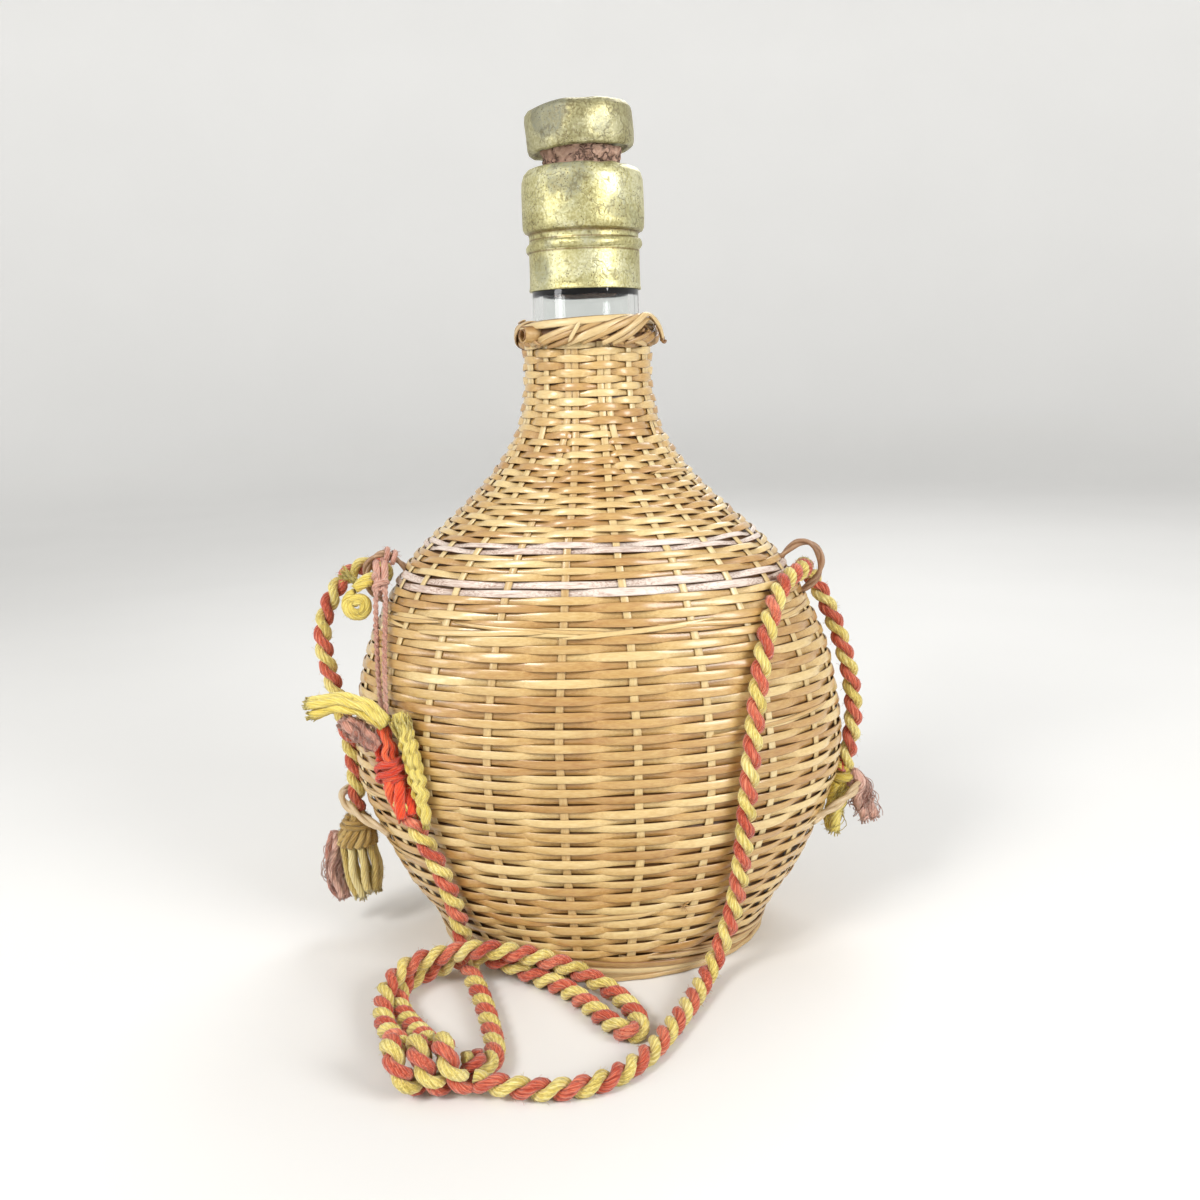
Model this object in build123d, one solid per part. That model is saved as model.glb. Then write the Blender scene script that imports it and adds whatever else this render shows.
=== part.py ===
from build123d import *
import math
import os

# Flattened, wicker-covered flask with a stoppered neck and a knotted two-colour carrying strap.
# Millimetres, +Z up, origin on the ground under the middle of the foot, the broad face towards -Y.

# Basket: the outside of the woven covering
foot_half_width = 49.0
foot_half_depth = 42.5
belly_half_width = 73.5
belly_half_depth = 47.5
belly_height = 60.0
neck_cover_radius = 18.3
neck_cover_start = 165.0
neck_cover_top = 175.5
cover_thickness = 3.0
stake_count = 22
stake_width = 2.5
stake_neck_width = 1.8
stake_thickness = 0.9
stake_proud = 0.1
seat_gap = 0.05
course_gap = 0.15

# Where the courses of the weave change, as heights
foot_border_height = 6.5
lower_wall_top = 46.0
belly_wall_top = 106.5
lower_bark_top = 111.0
between_bark_top = 117.5
upper_bark_top = 120.5
shoulder_wall_top = 152.0

# Foot: a rolled border round a woven mat
foot_border_overhang = 0.8
foot_border_round = 1.6
mat_thickness = 1.6
mat_lift = 0.8
mat_hub_radius = 9.0
mat_hub_height = 0.5

# Border of plaited rods round the neck
neck_border_height = 8.4
neck_border_outer_radius = 20.4
neck_border_round = 2.0
roll_radius = 2.2
roll_wall = 0.8
roll_length = 5.0
roll_stand = 0.25
bulge_radius = 2.0
bulge_length = 8.0

# Flask
glass_wall = 2.6
glass_base = 4.5
glass_fit = 0.3
punt_radius = 24.0
punt_depth = 2.2
neck_glass_radius = 15.1
neck_bore_radius = 12.2
finish_radius = 16.5
finish_bottom = 206.6
finish_top = 223.0
finish_round = 2.6
mouth_radius = 10.5
mouth_bottom = 205.0

# Gold capsule drawn over the finish
capsule_skin = 0.5
capsule_fit = 0.05
capsule_bottom = 190.7
bead_height = 202.6
bead_radius = 0.7
capsule_hem = 0.35

# Stopper: tapered cork with a gilded head
cork_fit = 0.08
cork_bottom_radius = 9.0
cork_bottom = 189.0
cork_waist_radius = 10.9
cork_waist_rise = 1.6
head_stand = 5.0
head_radius = 15.0
head_height = 12.0
head_round_top = 3.0
head_round_bottom = 1.8
head_recess = 1.4
head_play = 0.45
head_tilt = -2.0
crown_radius = 11.2
crown_depth = 0.5

# Carrying loops of bent twig, at the flanks
ring_twig_radius = 1.1
ring_height = 110.0
ring_reach = 12.5
ring_half_rise = 7.8
loop_twig_radius = 1.3
loop_height = 40.0
loop_reach = 9.0
loop_rise = 4.0

# Strap
strap_diameter = 6.0
string_diameter = 1.7
arc_share = 0.45
knot_turns = 3
knot_pitch = 6.6
knot_coil_radius = 5.2
knot_start = (-52.6, -92.0)

cut_overrun = 1.0

strap_radius = strap_diameter / 2
string_radius = string_diameter / 2
cork_waist_bottom = finish_top + cork_waist_rise
head_bottom = finish_top + head_stand
total_height = head_bottom + head_height

# The basket's outline: shares of the rise from one named height to the next, and of the change of
# half width and half depth that goes with it.
flank_shares = [
    (0.0, 0.0, 0.0), (0.07, 0.016, 0.1), (0.2, 0.2, 0.35), (0.333, 0.437, 0.55),
    (0.5, 0.645, 0.75), (0.667, 0.82, 0.9), (0.833, 0.96, 0.98), (1.0, 1.0, 1.0),
]
shoulder_shares = [
    (0.0, 1.0, 1.0), (0.114, 0.975, 0.99), (0.238, 0.928, 0.95), (0.333, 0.86, 0.9),
    (0.429, 0.763, 0.83), (0.495, 0.69, 0.765), (0.571, 0.565, 0.67), (0.648, 0.399, 0.54),
    (0.724, 0.25, 0.39), (0.8, 0.132, 0.235), (0.876, 0.047, 0.1), (0.952, 0.012, 0.03),
    (1.0, 0.0, 0.0),
]


def outline_stations():
    stations = []
    for rise, across, deep in flank_shares:
        stations.append((
            belly_height * rise,
            foot_half_width + (belly_half_width - foot_half_width) * across,
            foot_half_depth + (belly_half_depth - foot_half_depth) * deep,
        ))
    for rise, across, deep in shoulder_shares[1:]:
        stations.append((
            belly_height + (neck_cover_start - belly_height) * rise,
            neck_cover_radius + (belly_half_width - neck_cover_radius) * across,
            neck_cover_radius + (belly_half_depth - neck_cover_radius) * deep,
        ))
    return stations


stations = outline_stations()


def half_sizes(height):
    """Half width and half depth of the basket at a height."""
    if height >= stations[-1][0]:
        return neck_cover_radius, neck_cover_radius
    for (z0, a0, b0), (z1, a1, b1) in zip(stations, stations[1:]):
        if height <= z1:
            share = (height - z0) / (z1 - z0)
            return a0 + (a1 - a0) * share, b0 + (b1 - b0) * share


def oval(height, inset):
    half_width, half_depth = half_sizes(height)
    return Pos(0, 0, height) * Ellipse(half_width - inset, half_depth - inset)


def heights_between(bottom, top):
    return [bottom] + [z for z, _, _ in stations if bottom < z < top] + [top]


def oval_loft(bottom, top, inset):
    return loft([oval(z, inset) for z in heights_between(bottom, top)], ruled=True)


def course(bottom, top):
    """One course of the woven wall: a hoop that follows the basket's outline."""
    outside = stake_thickness - stake_proud + seat_gap
    inside = cover_thickness - glass_fit
    return oval_loft(bottom, top - course_gap, outside) - oval_loft(bottom, top - course_gap, inside)


# Woven covering
wall_courses = {
    "wicker_lower_wall": (foot_border_height + course_gap, lower_wall_top),
    "wicker_belly_wall": (lower_wall_top, belly_wall_top),
    "bark_band_lower": (belly_wall_top, lower_bark_top),
    "wicker_band_between": (lower_bark_top, between_bark_top),
    "bark_band_upper": (between_bark_top, upper_bark_top),
    "wicker_shoulder_wall": (upper_bark_top, shoulder_wall_top),
    "wicker_neck_wall": (shoulder_wall_top, neck_cover_top),
}
nodes = {name: course(*span) for name, span in wall_courses.items()}


def stake_section(height, angle):
    """A stake's cross-section: a rectangle lying square to the wall, across the stake."""
    half_width, half_depth = half_sizes(height)
    spread = (height - foot_border_height) / (neck_cover_top - foot_border_height)
    width = stake_width + (stake_neck_width - stake_width) * spread
    out = Vector(math.sin(angle) / half_width, -math.cos(angle) / half_depth, 0).normalized()
    along = Vector(-out.Y, out.X, 0)
    foot = Vector(
        (half_width - stake_thickness + stake_proud) * math.sin(angle),
        -(half_depth - stake_thickness + stake_proud) * math.cos(angle),
        height,
    )
    corners = [
        foot - along * (width / 2),
        foot + along * (width / 2),
        foot + along * (width / 2) + out * stake_thickness,
        foot - along * (width / 2) + out * stake_thickness,
    ]
    return Face(Wire.make_polygon(corners, close=True))


stake_bottom = foot_border_height + course_gap
stake_top = neck_cover_top - course_gap
stakes = []
for index in range(stake_count):
    angle = 2 * math.pi * (index + 1 / 2) / stake_count
    stakes.append(loft(
        [stake_section(z, angle) for z in heights_between(stake_bottom, stake_top)], ruled=True
    ))
nodes["wicker_stakes"] = Compound(children=stakes)

foot_half_sizes = (foot_half_width + foot_border_overhang, foot_half_depth + foot_border_overhang)
border_outer = extrude(Ellipse(*foot_half_sizes), foot_border_height)
border_outer = fillet(
    border_outer.faces().sort_by(Axis.Z)[-1].edges() + border_outer.faces().sort_by(Axis.Z)[0].edges(),
    foot_border_round,
)
nodes["wicker_foot_border"] = border_outer - oval_loft(
    -cut_overrun, foot_border_height + cut_overrun, cover_thickness - glass_fit
)
mat = oval_loft(mat_lift, mat_lift + mat_thickness, cover_thickness - glass_fit + seat_gap)
mat_hub = Pos(0, 0, mat_lift - mat_hub_height) * Cylinder(
    mat_hub_radius, mat_hub_height, align=(Align.CENTER, Align.CENTER, Align.MIN)
)
nodes["wicker_base_mat"] = mat + mat_hub

# Border of plaited rods at the neck
border_bore = neck_glass_radius + glass_fit
neck_border_bottom = neck_cover_top
border_ring = Pos(0, 0, neck_border_bottom) * (
    Cylinder(neck_border_outer_radius, neck_border_height, align=(Align.CENTER, Align.CENTER, Align.MIN))
    - Cylinder(border_bore, neck_border_height, align=(Align.CENTER, Align.CENTER, Align.MIN))
)
border_ring = fillet(
    [e for e in border_ring.edges().filter_by(GeomType.CIRCLE) if e.radius > border_bore + seat_gap],
    neck_border_round,
)
nodes["neck_border"] = border_ring

border_middle = neck_border_bottom + neck_border_height / 2
roll_reach = neck_border_outer_radius + roll_radius + roll_stand
roll_angle = 222.0
roll = Cylinder(roll_radius, roll_length) - Pos(0, 0, roll_wall) * Cylinder(
    roll_radius - roll_wall, roll_length
)
nodes["neck_border_roll"] = (
    Rot(0, 0, roll_angle) * Pos(roll_reach + seat_gap, 0, border_middle) * Rot(-90, 0, 0) * roll
)
bulge_angle = -33.0
bulge = Cylinder(bulge_radius, bulge_length)
bulge = fillet(bulge.edges().filter_by(GeomType.CIRCLE), bulge_radius - seat_gap * 4)
nodes["neck_border_bulge"] = (
    Rot(0, 0, bulge_angle)
    * Pos(neck_border_outer_radius + bulge_radius + seat_gap, 0, border_middle + bulge_radius / 2)
    * Rot(60, 0, 0) * bulge
)

# Flask
glass_inset = cover_thickness
glass_foot = mat_lift + mat_thickness + seat_gap
glass_outer = oval_loft(glass_foot, neck_cover_start, glass_inset)
glass_inner = oval_loft(glass_foot + glass_base, neck_cover_start + cut_overrun, glass_inset + glass_wall)
neck_outline_radius = neck_cover_radius - glass_inset


def turned(points):
    """A solid of revolution from an outline of radii and heights."""
    outline = Polyline(*[(r, z) for r, z in points], close=True)
    return revolve(Plane.XZ * make_face(outline), Axis.Z)


neck = turned([
    (0, neck_cover_start), (neck_outline_radius, neck_cover_start), (neck_glass_radius, neck_cover_top),
    (neck_glass_radius, finish_bottom), (finish_radius, finish_bottom + (finish_radius - neck_glass_radius)),
    (finish_radius, finish_top - finish_round), (finish_radius - finish_round, finish_top),
    (0, finish_top),
])
neck_hollow = turned([
    (0, neck_cover_start), (neck_outline_radius - glass_wall, neck_cover_start),
    (neck_bore_radius, neck_cover_top), (neck_bore_radius, mouth_bottom - (neck_bore_radius - mouth_radius)),
    (mouth_radius, mouth_bottom), (mouth_radius, finish_top + cut_overrun), (0, finish_top + cut_overrun),
])
punt_sphere_radius = (punt_radius ** 2 + punt_depth ** 2) / (2 * punt_depth)
punt = Pos(0, 0, glass_foot + punt_depth - punt_sphere_radius) * Sphere(punt_sphere_radius)
nodes["glass_flask"] = (glass_outer + neck) - (glass_inner + neck_hollow) - punt

# Gold capsule: a thin skin over the finish and the top of the neck, with a rolled bead
skin_neck = neck_glass_radius + capsule_fit
skin_finish = finish_radius + capsule_fit
capsule_top = finish_top + capsule_fit
nodes["neck_capsule"] = turned([
    (skin_neck, capsule_bottom), (skin_neck + capsule_skin + capsule_hem / 2, capsule_bottom),
    (skin_neck + capsule_skin, capsule_bottom + capsule_hem * 2),
    (skin_neck + capsule_skin, bead_height - 2 * bead_radius),
    (skin_neck + capsule_skin + bead_radius, bead_height - bead_radius / 2),
    (skin_neck + capsule_skin + bead_radius, bead_height + bead_radius / 2),
    (skin_neck + capsule_skin, bead_height + 2 * bead_radius),
    (skin_neck + capsule_skin, finish_bottom - capsule_fit),
    (skin_finish + capsule_skin, finish_bottom + (finish_radius - neck_glass_radius) - capsule_fit),
    (skin_finish + capsule_skin, finish_top - finish_round),
    (skin_finish + capsule_skin - finish_round * 0.3, finish_top - finish_round * 0.3),
    (skin_finish + capsule_skin - finish_round, capsule_top + capsule_skin),
    (mouth_radius + finish_round * 0.4, capsule_top + capsule_skin),
    (mouth_radius + finish_round * 0.4, capsule_top),
    (skin_finish - finish_round, capsule_top), (skin_finish, finish_top - finish_round),
    (skin_finish, finish_bottom + (finish_radius - neck_glass_radius)), (skin_neck, finish_bottom),
])

# Stopper
head_seat = head_bottom + head_recess
nodes["cork_stopper"] = turned([
    (0, cork_bottom), (cork_bottom_radius, cork_bottom),
    (mouth_radius - cork_fit, mouth_bottom), (mouth_radius - cork_fit, finish_top),
    (cork_waist_radius, cork_waist_bottom), (cork_waist_radius + cork_fit * 4, head_bottom),
    (cork_waist_radius, head_seat - head_play), (0, head_seat - head_play),
])
head = Cylinder(head_radius, head_height, align=(Align.CENTER, Align.CENTER, Align.MIN))
head = fillet(head.faces().sort_by(Axis.Z)[-1].edges(), head_round_top)
head = fillet(head.faces().sort_by(Axis.Z)[0].edges(), head_round_bottom)
head -= Cylinder(
    cork_waist_radius + head_recess, head_recess, align=(Align.CENTER, Align.CENTER, Align.MIN)
)
head -= Pos(0, 0, head_height - crown_depth) * Cylinder(
    crown_radius, crown_depth + cut_overrun, align=(Align.CENTER, Align.CENTER, Align.MIN)
)
nodes["stopper_cap"] = Pos(0, 0, head_bottom) * Rot(0, head_tilt, 0) * head


# Tubes along routes: straight runs joined by tangent arcs
def corner_radii(points):
    radii = []
    for before, here, after in zip(points, points[1:], points[2:]):
        a, b, c = Vector(*before), Vector(*here), Vector(*after)
        turn = math.radians((b - a).get_angle(c - b))
        radii.append(arc_share * min((b - a).length, (c - b).length) / math.tan(turn / 2))
    return radii


def tube(name, points, radius):
    radii = corner_radii(points)
    path = FilletPolyline(*points, radius=radii)
    solid = sweep(Plane(origin=path @ 0, z_dir=path % 0) * Circle(radius), path=path)
    expected = math.pi * radius ** 2 * path.length
    print(f"{name}: length {path.length:.1f}, radii {[round(r, 1) for r in radii]}, "
          f"volume {solid.volume / expected:.3f} of section times length")
    return solid


# Loops of bent twig that the strap passes through. A point's place is its stand-off from the wall over
# the reach, its depth over the basket's half depth, and its rise over the loop's own rise.
ring_shares = [
    (-0.08, -0.1, 0.33), (0.48, -0.11, 0.85), (0.9, -0.12, 1.0), (1.0, -0.11, 0.65),
    (0.785, -0.095, 0.0), (0.41, -0.082, -0.62), (-0.09, -0.07, -1.0),
]
loop_shares = [
    (-0.04, -0.385, -0.92), (0.42, -0.34, -0.25), (0.85, -0.23, 0.5), (1.01, -0.08, 0.9),
    (0.84, 0.09, 0.82), (0.46, 0.22, 0.55), (0.045, 0.31, 0.25),
]


def twig_route(side, shares, height, reach, rise):
    """Points of a bent twig whose two ends are in the basket's wall."""
    points = []
    for stand_share, depth_share, rise_share in shares:
        z = height + rise * rise_share
        half_width, half_depth = half_sizes(z)
        wall = half_width * math.sqrt(1 - depth_share ** 2)
        points.append((side * (wall + reach * stand_share), half_depth * depth_share, z))
    return points


for name, side in (("right", 1), ("left", -1)):
    nodes[f"ring_upper_{name}"] = tube(
        f"ring_upper_{name}", twig_route(side, ring_shares, ring_height, ring_reach, ring_half_rise),
        ring_twig_radius,
    )
    nodes[f"loop_lower_{name}"] = tube(
        f"loop_lower_{name}", twig_route(side, loop_shares, loop_height, loop_reach, loop_rise),
        loop_twig_radius,
    )

# The strap, from the tassel at the right, through the rings, round the knot on the ground to the left
strap_front_route = [
    (62.0, -3.0, 110.8), (60.9, -11.8, 110.6), (57.2, -21.4, 107.4), (52.3, -30.4, 101.0),
    (47.9, -37.4, 91.5), (44.4, -42.0, 79.0), (42.0, -44.6, 64.0), (40.6, -44.8, 48.0),
    (38.6, -43.4, 32.5), (35.0, -42.4, 19.4), (32.0, -43.8, 11.0), (28.2, -48.2, 5.6),
    (23.4, -57.2, 3.2), (16.8, -71.0, 3.0), (9.6, -84.4, 3.0), (-0.8, -94.6, 3.0),
    (-12.6, -97.8, 3.0), (-23.0, -97.0, 3.6), (-32.0, -97.4, 5.0),
]
strap_right_route = [
    (62.0, -3.0, 110.8), (63.0, 3.8, 110.4), (66.6, 8.0, 107.0), (71.0, 7.0, 99.6),
    (75.0, 2.8, 89.0), (77.8, -0.4, 77.0), (78.0, -2.0, 64.6), (76.1, -2.6, 53.5),
    (74.0, -3.0, 44.5), (73.5, -3.2, 37.0),
]
strap_left_front_route = [
    (-56.6, -36.4, 56.4), (-52.4, -39.6, 47.8), (-48.4, -40.2, 37.4), (-45.4, -38.0, 26.0),
    (-43.0, -35.2, 16.6), (-41.2, -35.0, 9.6), (-38.8, -38.8, 4.6), (-35.8, -46.4, 3.0),
    (-32.2, -56.0, 3.0), (-29.4, -66.2, 3.0), (-28.0, -76.2, 3.2), (-28.4, -83.4, 5.2),
    (-31.2, -88.4, 8.0),
]
strap_left_route = [
    (-62.0, -3.0, 110.8), (-62.0, 3.6, 112.0), (-66.2, 7.8, 113.4), (-72.2, 7.6, 113.2),
    (-77.8, 4.2, 108.0), (-81.4, 0.6, 98.8), (-82.4, -2.0, 87.6), (-80.6, -3.4, 75.6),
    (-78.0, -3.6, 64.0), (-75.8, -3.6, 53.0), (-74.0, -3.4, 44.0), (-73.6, -3.4, 36.0),
]
floor_bight_route = [
    (-47.6, -84.6, 6.6), (-51.6, -79.4, 4.8), (-56.8, -73.6, 3.4), (-60.2, -66.4, 3.0),
    (-61.4, -58.0, 3.0), (-61.0, -49.4, 3.1), (-57.8, -42.6, 4.2), (-51.8, -39.6, 7.2),
    (-44.4, -41.8, 11.0), (-36.4, -44.4, 14.4), (-27.4, -45.2, 14.8), (-18.4, -45.8, 12.6),
    (-10.2, -47.6, 9.2), (-2.8, -51.0, 5.6), (3.4, -56.6, 3.2), (8.4, -63.0, 3.0),
    (8.4, -67.4, 3.0), (5.8, -70.8, 3.0), (1.8, -72.0, 3.0), (-2.2, -70.4, 3.0),
    (-6.6, -62.6, 3.0), (-11.8, -55.2, 3.0), (-18.2, -50.2, 4.4), (-25.8, -48.6, 7.2),
    (-33.8, -49.6, 9.8), (-41.4, -49.2, 7.6), (-47.6, -49.0, 4.8), (-52.0, -52.0, 3.2),
    (-53.8, -57.6, 3.0), (-52.4, -64.2, 3.0), (-48.8, -69.8, 3.6), (-44.8, -75.2, 5.4),
    (-42.0, -80.2, 7.8), (-41.0, -84.8, 9.8),
]
string_front_route = [
    (-63.4, -6.4, 116.2), (-63.2, -10.6, 112.0), (-61.8, -16.6, 103.6), (-61.6, -23.4, 92.0),
    (-61.0, -28.6, 79.0), (-60.0, -31.6, 71.0),
]
string_back_route = [
    (-60.8, -6.2, 116.0), (-60.6, -11.4, 111.4), (-59.4, -18.4, 103.6), (-59.2, -25.4, 92.0),
    (-58.6, -30.6, 79.6), (-58.2, -33.2, 71.6),
]
for name, route, radius in (
    ("strap_front", strap_front_route, strap_radius),
    ("strap_right", strap_right_route, strap_radius),
    ("strap_left_front", strap_left_front_route, strap_radius),
    ("strap_left", strap_left_route, strap_radius),
    ("strap_floor_bight", floor_bight_route, strap_radius),
    ("string_left_outer", string_front_route, string_radius),
    ("string_left_inner", string_back_route, string_radius),
):
    nodes[name] = tube(name, route, radius)


# The knot on the ground: turns of the strap about an axis along X, each half turn a pair of arcs
def coil_point(turn):
    angle = 2 * math.pi * turn
    return Vector(
        knot_start[0] + knot_pitch * turn,
        knot_start[1] + knot_coil_radius * math.cos(angle),
        knot_coil_radius + strap_radius + knot_coil_radius * math.sin(angle),
    )


def coil_heading(turn):
    angle = 2 * math.pi * turn
    speed = 2 * math.pi * knot_coil_radius
    return Vector(knot_pitch, -speed * math.sin(angle), speed * math.cos(angle)).normalized()


def biarc(start, start_heading, end, end_heading):
    """Two tangent arcs from one point and heading to another, with equal control lengths."""
    chord = end - start
    headings = start_heading + end_heading
    a = 2 * (1 - start_heading.dot(end_heading))
    b = 2 * chord.dot(headings)
    reach = (-b + math.sqrt(b * b + 4 * a * chord.dot(chord))) / (2 * a)
    joint = (start + end + (start_heading - end_heading) * reach) * (1 / 2)
    first = TangentArc(start, joint, tangent=start_heading)
    second = TangentArc(joint, end, tangent=first % 1)
    return [first, second]


arcs = []
half_turns = 2 * knot_turns
for step in range(half_turns):
    here, there = step / 2, (step + 1) / 2
    arcs += biarc(coil_point(here), coil_heading(here), coil_point(there), coil_heading(there))
coil_path = Wire(arcs)
knot = sweep(Plane(origin=coil_path @ 0, z_dir=coil_path % 0) * Circle(strap_radius), path=coil_path)
nodes["knot_on_ground"] = knot
samples = 240
line = [coil_path @ (i / samples) for i in range(samples + 1)]
apart = math.ceil(samples / knot_turns / 2)
least = min(
    (line[i] - line[j]).length for i in range(samples + 1) for j in range(i + apart, samples + 1)
) - strap_diameter
print(f"knot_on_ground: length {coil_path.length:.1f}, least gap to itself {least:.2f}, "
      f"volume {knot.volume / (math.pi * strap_radius ** 2 * coil_path.length):.3f} of section times length")


# Knots, tufts and tassels: lofts through eight-sided sections set along a line
def tuft(points, radii, flat=1.0, sides=8):
    """points run along the tuft, radii are its half widths there, flat is its depth over its width."""
    sections = []
    for index, (point, radius) in enumerate(zip(points, radii)):
        before = Vector(*points[max(index - 1, 0)])
        after = Vector(*points[min(index + 1, len(points) - 1)])
        heading = (after - before).normalized()
        across = heading.cross(Vector(0, 1, 0)).normalized()
        plane = Plane(origin=point, x_dir=across, z_dir=heading)
        corners = [
            plane.from_local_coords((
                radius * math.cos(2 * math.pi * k / sides), flat * radius * math.sin(2 * math.pi * k / sides), 0
            ))
            for k in range(sides)
        ]
        sections.append(Face(Wire.make_polygon(corners, close=True)))
    return loft(sections, ruled=True)


knot_left_points = [(-59.4, -32.0, 73.0), (-59.2, -32.8, 70.0), (-58.8, -33.4, 65.6), (-58.2, -34.4, 62.0),
                    (-57.2, -35.6, 58.2), (-56.4, -36.4, 55.6)]
knot_left_radii = [1.6, 3.2, 3.8, 4.2, 4.0, 2.8]
gold_strand_points = [(-54.4, -35.4, 77.0), (-53.0, -36.2, 72.6), (-51.6, -37.0, 66.0), (-50.8, -37.6, 59.0),
                      (-50.6, -39.0, 52.8)]
gold_strand_radii = [1.4, 2.7, 2.8, 2.4, 1.5]
yellow_tuft_points = [(-58.4, -34.2, 74.6), (-61.6, -34.4, 78.4), (-67.0, -34.4, 80.8), (-73.0, -34.4, 81.2),
                      (-78.6, -33.8, 79.4)]
yellow_tuft_radii = [1.8, 2.4, 2.6, 2.9, 3.1]
pink_tuft_points = [(-61.2, -33.6, 68.0), (-64.0, -33.8, 70.8), (-67.2, -34.0, 73.4), (-69.8, -34.0, 75.6)]
pink_tuft_radii = [1.6, 2.7, 2.9, 2.2]
curl_points = [(-62.4, -6.4, 110.2), (-65.4, -9.4, 107.8), (-68.2, -10.4, 105.0), (-69.4, -10.6, 102.4),
               (-69.8, -10.6, 99.6)]
curl_radii = [2.4, 3.2, 3.9, 3.8, 2.2]
tassel_left_points = [(-74.0, -3.4, 36.4), (-74.6, -3.6, 33.4), (-75.2, -3.8, 28.4), (-75.0, -4.0, 22.0),
                      (-74.6, -4.2, 15.6), (-74.4, -4.2, 12.4)]
tassel_left_radii = [3.0, 5.4, 7.2, 7.6, 6.4, 4.6]
tassel_left_pink_points = [(-82.6, -3.4, 27.6), (-83.2, -3.6, 24.6), (-83.0, -4.0, 18.6), (-81.6, -4.2, 13.0),
                           (-80.6, -4.2, 10.6)]
tassel_left_pink_radii = [1.2, 2.0, 3.2, 2.8, 1.4]
knot_right_points = [(73.7, -3.2, 37.2), (73.8, -3.4, 35.0), (73.8, -3.6, 32.2), (73.4, -3.8, 29.6)]
knot_right_radii = [3.0, 4.0, 3.8, 2.4]
tassel_right_pink_points = [(77.0, -4.6, 38.6), (79.6, -4.8, 36.0), (81.4, -5.0, 32.0), (82.2, -5.2, 28.0)]
tassel_right_pink_radii = [1.6, 3.0, 3.9, 3.2]
tassel_right_yellow_points = [(73.2, -3.8, 29.4), (72.4, -4.0, 26.8), (71.4, -4.2, 23.4), (70.4, -4.4, 20.4)]
tassel_right_yellow_radii = [2.0, 2.9, 3.3, 2.6]
for name, points, radii, flat_share in (
    ("knot_left_red", knot_left_points, knot_left_radii, 0.9),
    ("tuft_left_gold", gold_strand_points, gold_strand_radii, 0.8),
    ("tuft_left_yellow", yellow_tuft_points, yellow_tuft_radii, 0.8),
    ("tuft_left_pink", pink_tuft_points, pink_tuft_radii, 0.8),
    ("curl_left", curl_points, curl_radii, 0.85),
    ("tassel_left", tassel_left_points, tassel_left_radii, 0.9),
    ("tassel_left_pink", tassel_left_pink_points, tassel_left_pink_radii, 0.9),
    ("knot_right", knot_right_points, knot_right_radii, 0.9),
    ("tassel_right_pink", tassel_right_pink_points, tassel_right_pink_radii, 0.8),
    ("tassel_right_yellow", tassel_right_yellow_points, tassel_right_yellow_radii, 0.9),
):
    nodes[name] = tuft(points, radii, flat_share)

os.makedirs("parts", exist_ok=True)
for name, shape in nodes.items():
    export_step(shape, f"parts/{name}.step")
print(f"{len(nodes)} nodes, total height {total_height}")
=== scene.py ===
"""Wicker-covered flask with a stoppered neck and a knotted carrying strap, dressed over its CAD frame.

Metres, +Z up, origin on the ground under the foot, the broad face towards -Y.
"""
import bisect
import math
import random

import bmesh
import bpy
from mathutils import Matrix, Vector, noise


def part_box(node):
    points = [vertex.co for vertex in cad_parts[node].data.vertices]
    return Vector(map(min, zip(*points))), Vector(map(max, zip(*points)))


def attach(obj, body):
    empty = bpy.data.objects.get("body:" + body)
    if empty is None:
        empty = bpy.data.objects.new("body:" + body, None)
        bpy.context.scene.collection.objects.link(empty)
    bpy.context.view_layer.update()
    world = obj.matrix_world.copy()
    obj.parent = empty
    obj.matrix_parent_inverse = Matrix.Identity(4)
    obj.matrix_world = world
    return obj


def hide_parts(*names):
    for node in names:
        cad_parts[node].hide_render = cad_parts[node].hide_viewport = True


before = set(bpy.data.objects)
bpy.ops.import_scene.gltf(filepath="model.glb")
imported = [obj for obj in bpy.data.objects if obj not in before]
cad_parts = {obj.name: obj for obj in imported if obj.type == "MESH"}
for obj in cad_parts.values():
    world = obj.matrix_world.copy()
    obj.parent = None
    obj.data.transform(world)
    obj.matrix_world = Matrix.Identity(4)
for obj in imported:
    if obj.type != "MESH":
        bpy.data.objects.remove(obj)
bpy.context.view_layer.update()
scene = bpy.context.scene

MM = 0.001
TAU = 2 * math.pi
WELD = 1e-6
UP = Vector((0, 0, 1))

# The photograph's view
CAMERA_PLACE = (0.0, -352 * MM, 170 * MM)
CAMERA_PITCH = math.radians(11.1)
CAMERA_ROLL = math.radians(1.7)
PHOTO_SIDE = 1200
OBJECT_LEFT_BY = 5.5
FRAME_WIDTH = 36.0

# The studio: each lamp's place, size, power and colour, and the backdrop's outline as radii and heights
LAMPS_AIM = (0, 0, 0.1)
LAMPS = {
    "key": ((-0.55, -0.62, 0.72), 0.35, 5.9, (1.0, 0.985, 0.96)),
    "side": ((-0.74, -0.42, 0.26), 0.26, 1.2, (1.0, 1.0, 1.0)),
    "fill": ((0.62, -0.56, 0.45), 0.45, 5.5, (1.0, 1.0, 1.0)),
    "rim": ((0.25, 0.7, 0.8), 0.6, 4.0, (1.0, 1.0, 1.0)),
}
BACKDROP = [(0, 0), (0.9, 0), (1.4, 0), (1.75, 0.1), (2.0, 0.35), (2.2, 0.8), (2.2, 1.6)]
BACKDROP_STEPS = 64
SKY_COLOUR = (0.93, 0.93, 0.92, 1)
SKY_LIGHT = 0.5
SKY_SEEN_MORE = 0.34

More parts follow.
